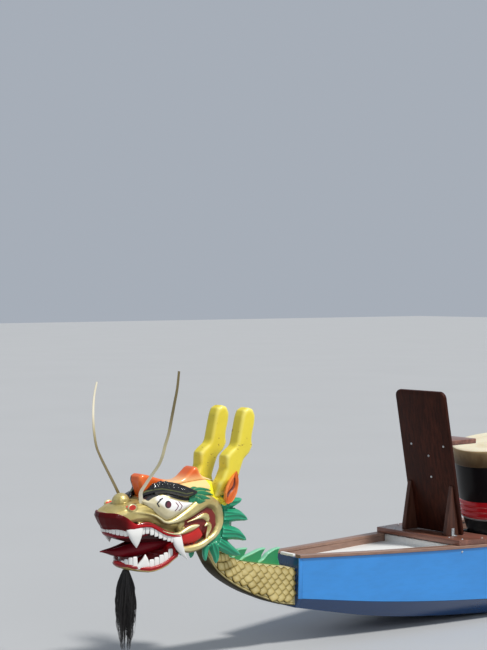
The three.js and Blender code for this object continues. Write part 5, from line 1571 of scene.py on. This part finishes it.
def scale_pattern():
    """One scale, unit sized: a diamond plate with its point aft standing proud and its front let in."""
    rings = []
    for reach, lift, _ in SCALE_RINGS:
        ring = []
        for a in round_angles(SCALE_SIDES):
            across, ahead = math.sin(a), math.cos(a)
            out = reach * 0.5 / (abs(across) ** SCALE_POINT + abs(ahead) ** SCALE_POINT) ** (1 / SCALE_POINT)
            wedge = SCALE_FRONT + 0.5 - out * ahead
            ring.append((out * ahead, out * across, lift if lift < 0 else wedge + lift))
        rings.append(ring)
    mesh = skinned("scale_pattern", rings, angle=SCALED)
    # Painted shade round the scale's rim and a painted highlight on its top, ring by ring
    store(mesh, "hollow", np.repeat([hollow for _, _, hollow in SCALE_RINGS], SCALE_SIDES))
    return mesh


def scale_places(rows, aft, near):
    """Staggered rows of scales on both sides of a board, from its back down to its belly."""
    places = []
    for step in range(int((near - aft) / (SCALE_STEP * MM)) + 1):
        for row in range(SCALE_ROWS):
            x = near - (step + 0.5 * (row % 2)) * SCALE_STEP * MM
            if x < aft:
                continue
            low, high, half = board_values(rows, x)
            fit = min(1, max(SCALE_LEAST, (high - low) / SCALE_FULL_DEPTH))
            z = high - (UPPER_BAND + SCALE_SIZE[1] * SCALE_ABOVE + row * SCALE_ROW) * MM * fit
            if z < low + (LOWER_BAND + SCALE_SIZE[1] * SCALE_BELOW) * MM * fit:
                continue
            ahead, behind = board_values(rows, x + SLOPE_SPAN), board_values(rows, x - SLOPE_SPAN)
            along = (2 * SLOPE_SPAN, 0, (ahead[0] + ahead[1] - behind[0] - behind[1]) / 2)
            size = [value * MM * fit for value in SCALE_SIZE]
            for _, side in SIDES:
                places.append(((x, side * (half - SCALE_INSET), z), upright_turn((0, side, 0), along), size))
    return places


def build_scaled_board(name, node, rows, span):
    board = board_loft(f"{name}_board", rows)
    places = scale_places(rows, *span)
    scales = spread_copies(scale_pattern(), places, "scale_gold", **SCALES_UNEVEN)
    shade_smooth(scales, SCALED)
    place_piece(joined(name, [board, scales]), [node], ["scale_gold"] * 2)


def build_fins(name, node, ribs, carving):
    made = softened_copy(node, name, *FIN_SKIN)
    raise_lines(made.data, ribs, carving.rib_width, carving.rib_rise)
    store_hollows(made.data)
    place_piece(made, [node], ["fin_green"])


def build_neck_and_tail(carving):
    build_scaled_board("neck_scaled", "neck", NECK_BOARD, NECK_SCALED)
    build_scaled_board("tail_scaled", "tail", TAIL_BOARD, TAIL_SCALED)
    build_fins("neck_fin_carving", "neck_fins", NECK_RIBS, carving)
    build_fins("tail_fin_carving", "tail_fins", TAIL_RIBS, carving)


# Carved head

def head_piece(node, word=None):
    """A carved piece of the head, its facets smoothed away and its hollows kept for the paint."""
    name, finish, slot, cell, rounds = CARVINGS[node]
    if word:
        name, node = f"{name}_{word}", f"{node}_{word}"
    made = softened_copy(node, name, cell, rounds)
    store_hollows(made.data)
    return place_piece(made, [node], [finish])


def inside_nostril(points):
    """How far each point lies inside a nostril's oval, seen from the side."""
    wide, high = NOSTRIL_HALF
    reach = np.hypot((points[:, 0] - NOSTRIL[0]) / wide, (points[:, 2] - NOSTRIL[1]) / high)
    return (1 - reach) * high


def flatten_nostrils(mesh):
    """Cut each nostril's boss back to a flat disc."""
    points = head_points(mesh)
    over = np.maximum(np.abs(points[:, 1]) - NOSTRIL_FACE, 0)
    cut = np.where(inside_nostril(points) > -1.5, over, 0)
    move_points(mesh, out=-np.sign(points[:, 1]) * cut)


def lid_band(flat):
    """How far each point lies inside the black lid drawn over the eye, which also paints the brow's shadow.
    """
    return LID_HALF - distance_to_line(flat, LID_LINE)


def paint_mouth(mesh):
    """The red of the cheeks and of the curls' recesses, and the dark of the mouth's inside."""
    points = head_points(mesh)
    forward, up, flat = points[:, 0], points[:, 2], points[:, [0, 2]]
    depth = read_off(forward, FACE_BREADTH) - np.abs(points[:, 1])
    store(mesh, "cheek_red", least(inside_distance(flat, INNER_CHEEK), CHEEK_DEPTH - depth))
    nearest, deepest = RECESS_DEPTHS
    curl = inside_distance(flat, CURL_AREA)
    store(mesh, "recess", least(curl, (depth - nearest) * 0.8, deepest - depth, RECESS_FRONT - forward))
    ceiling = least((-normals(mesh)[:, 2] - ROOF_FACING) * DARK_SHARP, MOUTH_HALF - np.abs(points[:, 1]))
    edge = np.maximum(ceiling, read_off(forward, ROOF_EDGE) + 1 - up)
    store(mesh, "mouth", least(forward - MOUTH_BACK, edge, depth - MOUTH_DEPTH, MOUTH_TOP - up))


def paint_crown(mesh):
    """The black lids, which also paint the brows' shadow, the orange, peach and yellow of the crown, the
    nostrils and the green nape.
    """
    points = head_points(mesh)
    forward, up, flat = points[:, 0], points[:, 2], points[:, [0, 2]]
    sideways = np.abs(normals(mesh)[:, 1])
    depth = read_off(forward, FACE_BREADTH) - np.abs(points[:, 1])
    store(mesh, "lid", least(lid_band(flat), (sideways - LID_FACING) * LID_SHARP))
    top = up - read_off(forward, CROWN_EDGE)
    for name, (start, end) in (("orange", ORANGE_SPAN), ("peach", PEACH_SPAN)):
        store(mesh, name, least(top, forward - start, end - forward))
    band = least(up - read_off(forward, YELLOW_EDGE), YELLOW_FRONT - forward)
    store(mesh, "yellow", least(band, sideways * 40 + top + 35))
    store(mesh, "nostril", least(inside_nostril(points), np.abs(points[:, 1]) - NOSTRIL_PAINT_FROM))
    store(mesh, "nape", least(read_off(up, NAPE_FRONT) - forward, NAPE_TOP - up, depth - NAPE_DEPTH))


def paint_eye(mesh):
    flat = side_view(mesh)
    # Black lid over the eye, and all above its line, as the brow's painted shadow
    store(mesh, "lid", np.maximum(lid_band(flat), flat[:, 1] - read_off(flat[:, 0], LID_LINE)))
    store(mesh, "white", inside_distance(flat, WHITE_OF_EYE))
    # How far below the top of the painted shade on its lower part each point lies
    store(mesh, "lower", LOWER_EYE_TOP - flat[:, 1])
    for name, centre, radius in (("iris", IRIS, IRIS_RADIUS), ("iris_rim", IRIS_RING, IRIS_RING_RADIUS)):
        store(mesh, name, radius - np.hypot(*(flat - centre).T))
    store(mesh, "black", BLACK_STROKE_HALF - distance_to_lines(flat, EYE_STROKES_BLACK))
    store(mesh, "purple", PURPLE_STROKE_HALF - distance_to_lines(flat, EYE_STROKES_PURPLE))


def paint_jaw(mesh):
    """Red on the jaw's rolled rim and wall, dark inside the mouth, gold left bare below."""
    points = head_points(mesh)
    inner = read_off(points[:, 0], JAW_BREADTH) - JAW_WALL - np.abs(points[:, 1])
    store_underside(mesh, *JAW_UNDER)
    store(mesh, "lip_red", points[:, 2] - read_off(points[:, 0], JAW_RIM) + RIM_DEEP)
    store(mesh, "mouth", least(inner, (normals(mesh)[:, 2] - WALL_FACING) * DARK_SHARP))


def paint_crest(mesh):
    flat = side_view(mesh)
    low_band = least(CREST_BAND_TOP - flat[:, 1], CREST_BAND_FRONT - flat[:, 0])
    store(mesh, "peach", np.maximum(CREST_PEACH - flat[:, 0], low_band))
    store(mesh, "pale", CREST_PALE - flat[:, 0])
    starboard = -head_points(mesh)[:, 1] - INK_OUT
    store(mesh, "ink", least(INK_HALF - distance_to_line(flat, CREST_FRONT), starboard))


def rake_lip(mesh):
    """Draw the lower part of the muzzle's front back and in, so that its corners round off."""
    forward, out, up = head_points(mesh).T
    reach = share_past(forward, LIP_RAKE_FROM, LIP_RAKE_RUN) * share_past(up, LIP_RAKE_TOP, -LIP_RAKE_FALL)
    move_points(mesh, -LIP_BACK * reach, -LIP_INWARD * reach * np.clip(out / LIP_RAKE_RUN, -1, 1))


def place_fold(name, rows, finish):
    """A soft fold of red flesh over rows of forward, out, up and radius."""
    path = [from_head(x, y, z) for x, y, z, _ in rows]
    fold = new_object(name, rod(name, path, [radius for _, _, _, radius in rows], FOLD_SIDES))
    store_hollows(fold.data, 1)
    place_piece(fold, [], [finish])


def build_folds():
    """The dark fold round the palate and the red one at the foot of each cheek."""
    port = smooth_rows(PALATE_FOLD, FOLD_RINGS)
    place_fold("palate_fold", [*(port * (1, -1, 1, 1)), *port[::-1]], "tongue_crimson")
    for word, side in SIDES:
        rows = [(x, side * y, z, radius) for x, y, z, radius in CHEEK_FOLD]
        place_fold(f"cheek_fold_{word}", rows, "cheek_fold_red")


def thin_brow_front(mesh):
    """Draw the front of the brow down to a thin lid and in towards the face."""
    forward, out, up = head_points(mesh).T
    reach = share_past(forward, BROW_THIN_FROM, BROW_THIN_RUN)
    over = np.maximum(up - read_off(forward, BROW_LID), 0)
    move_points(mesh, out=-np.sign(out) * BROW_IN * reach, up=-over * BROW_THINNED * reach)


def lump_brow(mesh, size, rise):
    """Raise the brow in glossy lumps, its lid left smooth."""
    inside = share_past(inside_distance(side_view(mesh), BROW_AREA), 0, BROW_LUMPS_SET_IN)
    away = np.array([noise.voronoi(vertex.co / size)[0][0] for vertex in mesh.vertices])
    lift = np.clip(1 - BROW_LUMP_FALL * away, 0, 1) * inside * rise / MM
    move_points(mesh, *(normals(mesh) * lift[:, None]).T)


def draw_in_foot(mesh):
    """Draw a horn's foot inward and down into the side of the head."""
    _, out, up = head_points(mesh).T
    reach = share_past(up, HORN_FOOT, -HORN_RUN) ** HORN_EASE
    move_points(mesh, out=-np.sign(out) * HORN_IN * reach, up=-HORN_DOWN * reach)


def lock_axes(x0, z0, x1, z1):
    """How a lock runs from root to tip, and one unit across it."""
    run = np.array([x1 - x0, z1 - z0], float)
    return run, np.array([-run[1], run[0]]) / np.linalg.norm(run)


def hook_locks(mesh):
    """Bend the tip of each lock of the mane to one side."""
    flat = side_view(mesh)
    shift = np.zeros_like(flat)
    nearest = np.full(len(flat), 1.1)
    for *ends, width, hook in MANE_LOCKS:
        run, across = lock_axes(*ends)
        local = flat - ends[:2]
        along = local @ run / (run @ run)
        aside = np.abs(local @ across) / width
        chosen = (along > 0.5) & (aside < nearest)
        nearest[chosen] = aside[chosen]
        bend = np.clip((along[chosen] - 0.5) / 0.5, 0, 1.2) ** 2 * hook
        shift[chosen] = bend[:, None] * across
    move_points(mesh, forward=shift[:, 0], up=shift[:, 1])


def oval_ring(centre, wide, thick, half, depth, count=18, square=0.75):
    """A ring round a centre, squared a little, from two directions and a half size along each."""
    ring = []
    for a in np.linspace(0, 2 * math.pi, count, endpoint=False):
        u, v = math.cos(a), math.sin(a)
        u, v = math.copysign(abs(u) ** square, u), math.copysign(abs(v) ** square, v)
        ring.append(centre + (wide * u * half + thick * v * depth) * MM)
    return ring


def rod(name, path, radii, count=12):
    """A closed round rod along a path with a radius in millimetres at each point."""
    path = [Vector(p) for p in path]
    side = (path[1] - path[0]).orthogonal()
    rings = []
    for i, place in enumerate(path):
        before, after = either_side(path, i)
        run = (after - before).normalized()
        side = (side - run * side.dot(run)).normalized()
        rings.append(oval_ring(place, side, run.cross(side), radii[i], radii[i], count, square=1))
    return skinned(name, rings)


def tooth_pattern():
    """One flat tooth, unit sized: its root a little above zero and its rounded tip one below."""
    rings = []
    for lift, reach in TOOTH_RINGS:
        ring = []
        for a in round_angles(TOOTH_SIDES):
            turn = zip((math.cos(a), math.sin(a)), TOOTH_SQUARE)
            u, v = [math.copysign(abs(w) ** power, w) for w, power in turn]
            ring.append((u * reach, v * (reach - TOOTH_THINNING * (1 - lift)), lift))
        rings.append(ring)
    mesh = skinned("tooth_pattern", rings)
    # Height on the tooth: its root is painted greyer there as painted shade where it meets the gum
    store(mesh, "root", mesh_points(mesh)[:, 2])
    return mesh


def tooth_places(rows, up):
    """Both halves of a row of teeth, each tooth in line with its neighbours."""
    places = []
    for i, (x, y, root, tip, half) in enumerate(rows):
        before, after = either_side(rows, i)
        for _, side in SIDES:
            along = (after[0] - before[0], side * (after[1] - before[1]), 0)
            turn = upright_turn((0, 0, 1 if up else -1), along)
            size = ((half - TOOTH_GAP) * MM, TOOTH_THICK * MM / 2, abs(root - tip) * MM)
            places.append((from_head(x, side * y, root), turn, size))
    return places


def fang(name, rows, side):
    along = Vector((FANG_WAY[0], -FANG_WAY[1] * side, 0))
    out = Vector((FANG_WAY[1] * side, FANG_WAY[0], 0))
    rings = [oval_ring(from_head(x, side * y, z), along, out, half, thick)
             for x, y, z, half, thick in smooth_rows(rows, FANG_RINGS)]
    mesh = skinned(name, rings)
    store(mesh, "root", np.full(len(mesh.vertices), -1))
    return mesh


def gum(name, rows, lift):
    """A red rod where a row of teeth comes out of the jaw, all round the mouth."""
    line = smooth_rows([(x, y, root + lift) for x, y, root, _, _ in rows], GUM_RINGS)
    path = [from_head(x, -y, z) for x, y, z in reversed(line)] + [from_head(x, y, z) for x, y, z in line]
    made = new_object(name, rod(name, path, [GUM_RADIUS] * len(path)))
    place_piece(made, [], ["gum_red"])


def build_teeth():
    for name, node, rows, up, fangs in (
        ("upper_teeth", "teeth_upper", UPPER_TEETH, True, (FRONT_FANG, REAR_FANG)),
        ("lower_teeth", "teeth_lower", LOWER_TEETH, False, (LOWER_FANG,)),
    ):
        places = tooth_places(rows, up)
        row = spread_copies(tooth_pattern(), places, "tooth_ivory", **TEETH_UNEVEN)
        shade_smooth(row, TOOTHED)
        cones = [fang(f"{name}_fang", table, side) for table in fangs for _, side in SIDES]
        made = joined(name, [row, *cones])
        place_piece(made, [node], ["tooth_ivory"] * (1 + len(cones)))
    gum("upper_gum", UPPER_TEETH, UPPER_GUM_LIFT)
    gum("lower_gum", LOWER_TEETH, LOWER_GUM_LIFT)


def build_tongue():
    """A long tongue with a furrow down its middle and a thin turned-up tip."""
    rings = []
    for x, z, half, deep in smooth_rows(TONGUE, TONGUE_RINGS):
        ring = []
        for a in round_angles(TONGUE_SIDES):
            across, up = half * math.cos(a), deep * math.sin(a)
            furrow = FURROW_DEEP * deep * math.exp(-(across / (FURROW_BROAD * half)) ** 2) if up > 0 else 0
            ring.append(from_head(x, across, z + up - furrow))
        rings.append(ring)
    mesh = skinned("tongue_carving", rings)
    store_hollows(mesh, 1)
    place_piece(new_object("tongue_carving", mesh), ["tongue"], ["tongue_crimson"])


def ear_ring(t, half, front):
    """One ring of the ear at a share of its length, as places across and out, and how near its canal is."""
    bend = EAR_BEND[0] * math.sin(t * EAR_BEND[1])
    fullness = min(1, half / EAR_FULL_HALF)
    rim_high, rim_at, rim_broad = EAR_RIM
    groove_deep, groove_broad = EAR_GROOVE
    ring, canal = [], []
    for f in front:
        rim = rim_high * math.exp(-((abs(f) - rim_at) / rim_broad) ** 2)
        groove = groove_deep * math.exp(-((f - bend) / groove_broad) ** 2)
        ring.append((f, (EAR_FLOOR + rim - groove) * fullness))
        inside = EAR_CANAL[0] < t < EAR_CANAL[1]
        canal.append((groove_broad - abs(f - bend)) * half if inside else NO_CANAL)
    for f in front[-2:0:-1]:
        ring.append((f, -EAR_BACK * fullness * math.sqrt(max(0, 1 - f * f)) - 1))
        canal.append(NO_CANAL)
    return ring, canal


def build_ear(word, side):
    """A leaf-shaped ear: a rolled rim round a bowl with a dark canal."""
    run = EAR_TIP - EAR_FOOT
    across = Vector((run.z, 0, -run.x)).normalized()
    front = np.linspace(-1, 1, EAR_ACROSS)
    rings, canal = [], []
    for t in np.linspace(0, 1, EAR_RINGS):
        half = read_off(t, EAR_WIDTH)
        ring, near = ear_ring(t, half, front)
        centre = EAR_FOOT + run * t
        rings.append([from_head(*(centre + across * (f * half) + Vector((0, out, 0))))
                      for f, out in ring])
        canal += near
    mesh = skinned(f"ear_carving_{word}", rings)
    store(mesh, "canal", canal)
    store_hollows(mesh, 1)
    mirror_to_side(mesh, side)
    place_piece(new_object(mesh.name, mesh), [f"ear_{word}"], ["ear_orange"])


def mirror_to_side(mesh, side):
    if side < 0:
        mesh.transform(Matrix.Scale(-1, 4, (0, 1, 0)))
        mesh.flip_normals()


def build_whisker(word, side):
    """A springy gilt strip, with a painted highlight at its root and painted shade towards its tip on port,
    and the other way round to starboard.
    """
    table = smooth_rows(WHISKER if side > 0 else WHISKER[:WHISKER_STARBOARD_ROWS], WHISKER_RINGS)
    rings = []
    for i, (x, y, z, half) in enumerate(table):
        before, after = either_side(table, i)
        run = Vector(after[:3] - before[:3]).normalized()
        wide = Vector(WHISKER_FLAT)
        wide = (wide - run * wide.dot(run)).normalized()
        place = from_head(x, y, z)
        rings.append(oval_ring(place, wide, run.cross(wide), half, WHISKER_THICK, WHISKER_SIDES, square=0.35))
    mesh = skinned(f"whisker_strip_{word}", rings)
    height = np.repeat(table[:, 2], WHISKER_SIDES)
    # A painted highlight at one end of the strip and painted shade at the other
    store(mesh, "bright", PORT_HIGHLIGHT_TO - height if side > 0 else height - STARBOARD_HIGHLIGHT_FROM)
    store(mesh, "dull", height - PORT_SHADE_FROM if side > 0 else STARBOARD_SHADE_TO - height)
    mirror_to_side(mesh, side)
    place_piece(new_object(mesh.name, mesh), [f"whisker_{word}"], ["whisker_gilt"])


def leaf_blade(surface, line, side):
    """One leaf blade that lies along a line on the head's side."""
    rows = smooth_rows(line, LEAF_RINGS)
    rings = []
    for i, (x, z) in enumerate(rows):
        t = i / (len(rows) - 1)
        place, _ = landing(surface, from_head(x, side * CLEAR_OF_HEAD, z), (0, -side, 0))
        before, after = either_side(rows, i)
        run = after - before
        across = Vector((-run[1], 0, run[0])).normalized()
        half = LEAF_WIDTH * (0.75 + 0.5 * math.sin(math.pi * min(1, t * 1.3))) * (1 - t**2.5) + 0.6
        rise = LEAF_RISE * (1 - 0.6 * t)
        ring = [(f * half, fixed + share * rise) for f, fixed, share, _ in LEAF_SECTION]
        rings.append([place + (across * wide + Vector((0, side * up, 0))) * MM for wide, up in ring])
    mesh = skinned("blade", rings)
    store(mesh, "gilt", np.tile([gilt for _, _, _, gilt in LEAF_SECTION], len(rows)))
    return mesh


def build_leaves(surface):
    """Green leaf blades that trail back from each brow over the head's side."""
    for word, side in SIDES:
        made = joined(f"brow_leaves_{word}", [leaf_blade(surface, line, side) for line in BROW_LEAVES])
        place_piece(made, [], ["leaf_green"] * len(BROW_LEAVES))


def lock_shift(lock, t):
    """How far one of the tassel's two locks has swung away from its middle, part of the way down."""
    swing = lock * math.sin(math.pi * min(1, 0.8 * t))
    return Vector((TASSEL_SPLIT[0] * swing, -TASSEL_SPLIT[1] * swing, 0))


def tassel_core(lock):
    """The bound core of one of the tassel's two locks."""
    path = []
    for z, _ in TASSEL_CORE:
        aside = lock_shift(lock, -z / TASSEL_LONG)
        path.append(from_head(TASSEL_TOP.x + aside.x, aside.y, z))
    return rod("core", path, [radius for _, radius in TASSEL_CORE], 14)


def hair_lines(count):
    """The lines that the tassel's hair follows, as one mesh of points and edges."""
    draw = np.random.default_rng(HAIR_SEED)
    lines, edges = [], []
    for strand in range(count):
        turn = draw.uniform(0, 2 * math.pi)
        reach = math.sqrt(draw.uniform(*HAIR_REACH))
        lock = 1 if strand % 2 else -1
        long = TASSEL_LONG * draw.uniform(*HAIR_LENGTH)
        for t in np.linspace(0, 1, HAIR_POINTS):
            belly = math.sin(math.pi * min(1, 0.06 + t * 1.02)) ** 0.8
            out = TASSEL_NECK + reach * TASSEL_BELLY * belly
            if t:
                edges.append((len(lines) - 1, len(lines)))
            place = Vector((out * math.cos(turn), out * math.sin(turn), -t * long))
            lines.append(from_head(*(TASSEL_TOP + lock_shift(lock, t) + place)))
    base = bpy.data.meshes.new("hair_lines")
    base.from_pydata(lines, edges, [])
    return base


def build_tassel(carving):
    """A tassel of black horsehair round a bound core, hanging in two locks."""
    cores = [tassel_core(lock) for lock in (1, -1)]
    strands = grown_mesh(hair_lines(carving.hair_count), TREES["strands"], {
        "Finish": MATERIALS["tassel_hair"], "Radius": carving.hair_radius, "Tip radius": HAIR_TIP,
        "Wave": HAIR_WAVE, "Steps": HAIR_STEPS,
    })
    place_piece(joined("beard_tassel", [*cores, strands]), ["beard"], ["tassel_hair"] * 3)


def build_mane():
    """The mane's locks with combed ridges, and the yellow of the cheek run over its upper end."""
    made = head_piece("mane")
    flat = side_view(made.data)
    lines = []
    for *ends, width, _ in MANE_LOCKS:
        run, across = lock_axes(*ends)
        root = np.array(HEAD_PLACE.xz) / MM + ends[:2]
        for share, bow in MANE_RIDGES:
            lines.append([root + run * t + across * (share * width * keep + bow * math.sin(3 * t))
                          for t, keep in MANE_COMB])
    raise_lines(made.data, lines, MANE_RIDGE_WIDTH, MANE_RIDGE_RISE)
    hook_locks(made.data)
    store(made.data, "yellow", MANE_YELLOW_HALF - distance_to_line(flat, MANE_YELLOW))


def build_head(carving):
    carved = head_piece("skull")
    flatten_nostrils(carved.data)
    store_underside(carved.data, *HEAD_UNDER)
    paint_mouth(carved.data)
    paint_crown(carved.data)
    paint_jaw(head_piece("jaw_lower").data)
    lip = head_piece("lip_upper")
    # Where the lip turns from its painted shade in front to its lit red flank
    store(lip.data, "flank", LIP_FLANK - side_view(lip.data)[:, 0])
    for muzzle in (carved, lip):
        rake_lip(muzzle.data)
    build_folds()
    build_teeth()
    build_tongue()
    paint_crest(head_piece("crest").data)
    build_mane()
    build_leaves(surface_of(carved.data))
    build_tassel(carving)
    for word, side in SIDES:
        paint_eye(head_piece("eye", word).data)
        brow = head_piece("brow", word).data
        thin_brow_front(brow)
        lump_brow(brow, carving.brow_lump, carving.brow_rise)
        store(brow, "line", BROW_LINE_HALF - distance_to_line(side_view(brow), BROW_LINE))
        draw_in_foot(head_piece("horn", word).data)
        build_ear(word, side)
        build_whisker(word, side)


# Stage

def look_along(made, way):
    """Link a light or camera to the scene and point it."""
    made.rotation_euler = Vector(way).to_track_quat("-Z", "Y").to_euler()
    bpy.context.scene.collection.objects.link(made)


def add_light(name, kind, way, power, colour):
    light = bpy.data.lights.new(name, kind)
    light.energy = power
    light.color = colour
    made = bpy.data.objects.new(name, light)
    look_along(made, way)
    return made


def add_camera():
    camera = bpy.data.cameras.new("photo_eye")
    camera.sensor_width = SENSOR
    camera.lens = EYE_LENS
    made = bpy.data.objects.new("photo_eye", camera)
    made.location = EYE_POINT
    level = math.cos(EYE_DIP)
    look_along(made, (-math.sin(EYE_TURN) * level, -math.cos(EYE_TURN) * level, -math.sin(EYE_DIP)))
    bpy.context.scene.camera = made


def build_stage():
    half = FLOOR_HALF
    corners = [(-half, -half, 0), (half, -half, 0), (half, half, 0), (-half, half, 0)]
    floor = new_object("studio_floor", mesh_from("studio_floor", corners, [(0, 1, 2, 3)]))
    floor.data.materials.append(floor_material())
    world = bpy.data.worlds.new("studio")
    world.use_nodes = True
    background = world.node_tree.nodes["Background"]
    background.inputs["Color"].default_value = SKY
    background.inputs["Strength"].default_value = SKY_POWER
    bpy.context.scene.world = world
    add_light("sun", "SUN", SUN_WAY, SUN_POWER, SUN_COLOUR).data.angle = SUN_BREADTH
    fill = add_light("fill", "AREA", Vector(FILL_AIM) - Vector(FILL_PLACE), FILL_POWER, FILL_COLOUR)
    fill.location = FILL_PLACE
    fill.data.shape = "DISK"
    fill.data.size = FILL_SIZE
    add_camera()
    bpy.context.scene.view_settings.view_transform = "Standard"


# Add-on

def colour_property(name, description, default):
    return FloatVectorProperty(
        name=name, description=description, subtype="COLOR", size=3, min=0, max=1, default=default,
    )


def length_property(name, description, default, most):
    return FloatProperty(
        name=name, description=description, subtype="DISTANCE", unit="LENGTH", min=0, max=most, precision=4,
        default=default,
    )


class BoatPaint(bpy.types.PropertyGroup):
    """Paint colours of the hull."""

    hull_blue: colour_property("Hull blue", "Gloss paint on the side planks", (0.028, 0.27, 0.72))
    hull_navy: colour_property("Hull navy", "Gloss paint below the chine", (0.008, 0.05, 0.16))
    inside_white: colour_property("Inside white", "Satin paint on decks, ribs and risers", (0.86, 0.87, 0.85))


class BoatFittings(bpy.types.PropertyGroup):
    """Sizes of the fittings and of the joiner's work."""

    plank_round: length_property("Plank edge", "Rounding of the seat's and beam's edges", 0.003, 0.01)
    board_round: length_property("Board edge", "Rounding of the leaning board's edges", 0.008, 0.012)
    bolt_radius: length_property("Bolt head", "Radius of a bolt's washer on the seat", 0.0062, 0.015)


class BoatCarving(bpy.types.PropertyGroup):
    """Sizes of the carving on the head, neck and tail."""

    rib_width: FloatProperty(
        name="Rib width", description="Half width of a fin's raised rib in millimetres", min=1, max=20,
        default=7,
    )
    rib_rise: FloatProperty(
        name="Rib rise", description="How far a fin's rib stands proud in millimetres", min=0, max=10,
        default=3.5,
    )
    brow_lump: length_property("Brow lump", "Breadth of one lump of the brow", 0.016, 0.05)
    brow_rise: length_property("Brow rise", "How far the brow's lumps stand proud", 0.007, 0.02)
    hair_count: IntProperty(
        name="Hair count", description="Strands in the tassel under the jaw", min=20, max=1200, default=520,
    )
    hair_radius: length_property("Hair radius", "Radius of one strand of the tassel", 0.0009, 0.005)


class BOAT_OT_planking(bpy.types.Operator):
    """Build the side, bilge and bottom planking."""

    bl_idname = "boat.planking"
    bl_label = "Planking"

    def execute(self, context):
        build_materials(context.scene.boat_paint)
        build_planking(context.scene.boat_fittings.bolt_radius)
        return {"FINISHED"}


class BOAT_OT_rails(bpy.types.Operator):
    """Build the gunwale caps and inwales."""

    bl_idname = "boat.rails"
    bl_label = "Rails"

    def execute(self, context):
        build_rails()
        return {"FINISHED"}


class BOAT_OT_fitout(bpy.types.Operator):
    """Build the risers, ribs, decks, transoms and benches."""

    bl_idname = "boat.fitout"
    bl_label = "Fit-out"

    def execute(self, context):
        build_fitout()
        return {"FINISHED"}


class BOAT_OT_seat(bpy.types.Operator):
    """Build the drummer's seat."""

    bl_idname = "boat.seat"
    bl_label = "Drummer's seat"

    def execute(self, context):
        build_seat(context.scene.boat_fittings)
        return {"FINISHED"}


class BOAT_OT_drum(bpy.types.Operator):
    """Build the drum on its stand."""

    bl_idname = "boat.drum"
    bl_label = "Drum"

    def execute(self, context):
        build_drum()
        return {"FINISHED"}


class BOAT_OT_steering(bpy.types.Operator):
    """Build the steering beam, fork, collar and oar."""

    bl_idname = "boat.steering"
    bl_label = "Steering gear"

    def execute(self, context):
        build_steering(context.scene.boat_fittings)
        return {"FINISHED"}


class BOAT_OT_head(bpy.types.Operator):
    """Build the carved head."""

    bl_idname = "boat.head"
    bl_label = "Carved head"

    def execute(self, context):
        build_head(context.scene.boat_carving)
        return {"FINISHED"}


class BOAT_OT_neck_and_tail(bpy.types.Operator):
    """Build the scaled neck and tail and their fins."""

    bl_idname = "boat.neck_and_tail"
    bl_label = "Neck and tail"

    def execute(self, context):
        build_neck_and_tail(context.scene.boat_carving)
        return {"FINISHED"}


class BOAT_OT_stage(bpy.types.Operator):
    """Build the floor, lights and camera."""

    bl_idname = "boat.stage"
    bl_label = "Stage"

    def execute(self, context):
        build_stage()
        return {"FINISHED"}


OPERATORS = (
    BOAT_OT_planking, BOAT_OT_rails, BOAT_OT_fitout, BOAT_OT_seat, BOAT_OT_drum, BOAT_OT_steering,
    BOAT_OT_head, BOAT_OT_neck_and_tail, BOAT_OT_stage,
)


class BOAT_PT_panel(bpy.types.Panel):
    """Sizes, colours and build steps of the dragon boat."""

    bl_label = "Dragon Boat"
    bl_idname = "BOAT_PT_panel"
    bl_space_type = "VIEW_3D"
    bl_region_type = "UI"
    bl_category = "Dragon Boat"

    def draw(self, context):
        for group in SIZES:
            sizes = getattr(context.scene, group)
            for name in sizes.bl_rna.properties.keys():
                if name not in {"rna_type", "name"}:
                    self.layout.prop(sizes, name)
        for operator in OPERATORS:
            self.layout.operator(operator.bl_idname)


SIZES = {"boat_paint": BoatPaint, "boat_fittings": BoatFittings, "boat_carving": BoatCarving}
CLASSES = (*SIZES.values(), *OPERATORS, BOAT_PT_panel)


def register():
    for made in CLASSES:
        bpy.utils.register_class(made)
    for name, group in SIZES.items():
        setattr(bpy.types.Scene, name, PointerProperty(type=group))


def unregister():
    for name in SIZES:
        delattr(bpy.types.Scene, name)
    for made in reversed(CLASSES):
        bpy.utils.unregister_class(made)


def main():
    register()
    for operator in OPERATORS:
        getattr(bpy.ops.boat, operator.bl_idname.split(".")[1])()


if __name__ == "__main__":
    main()
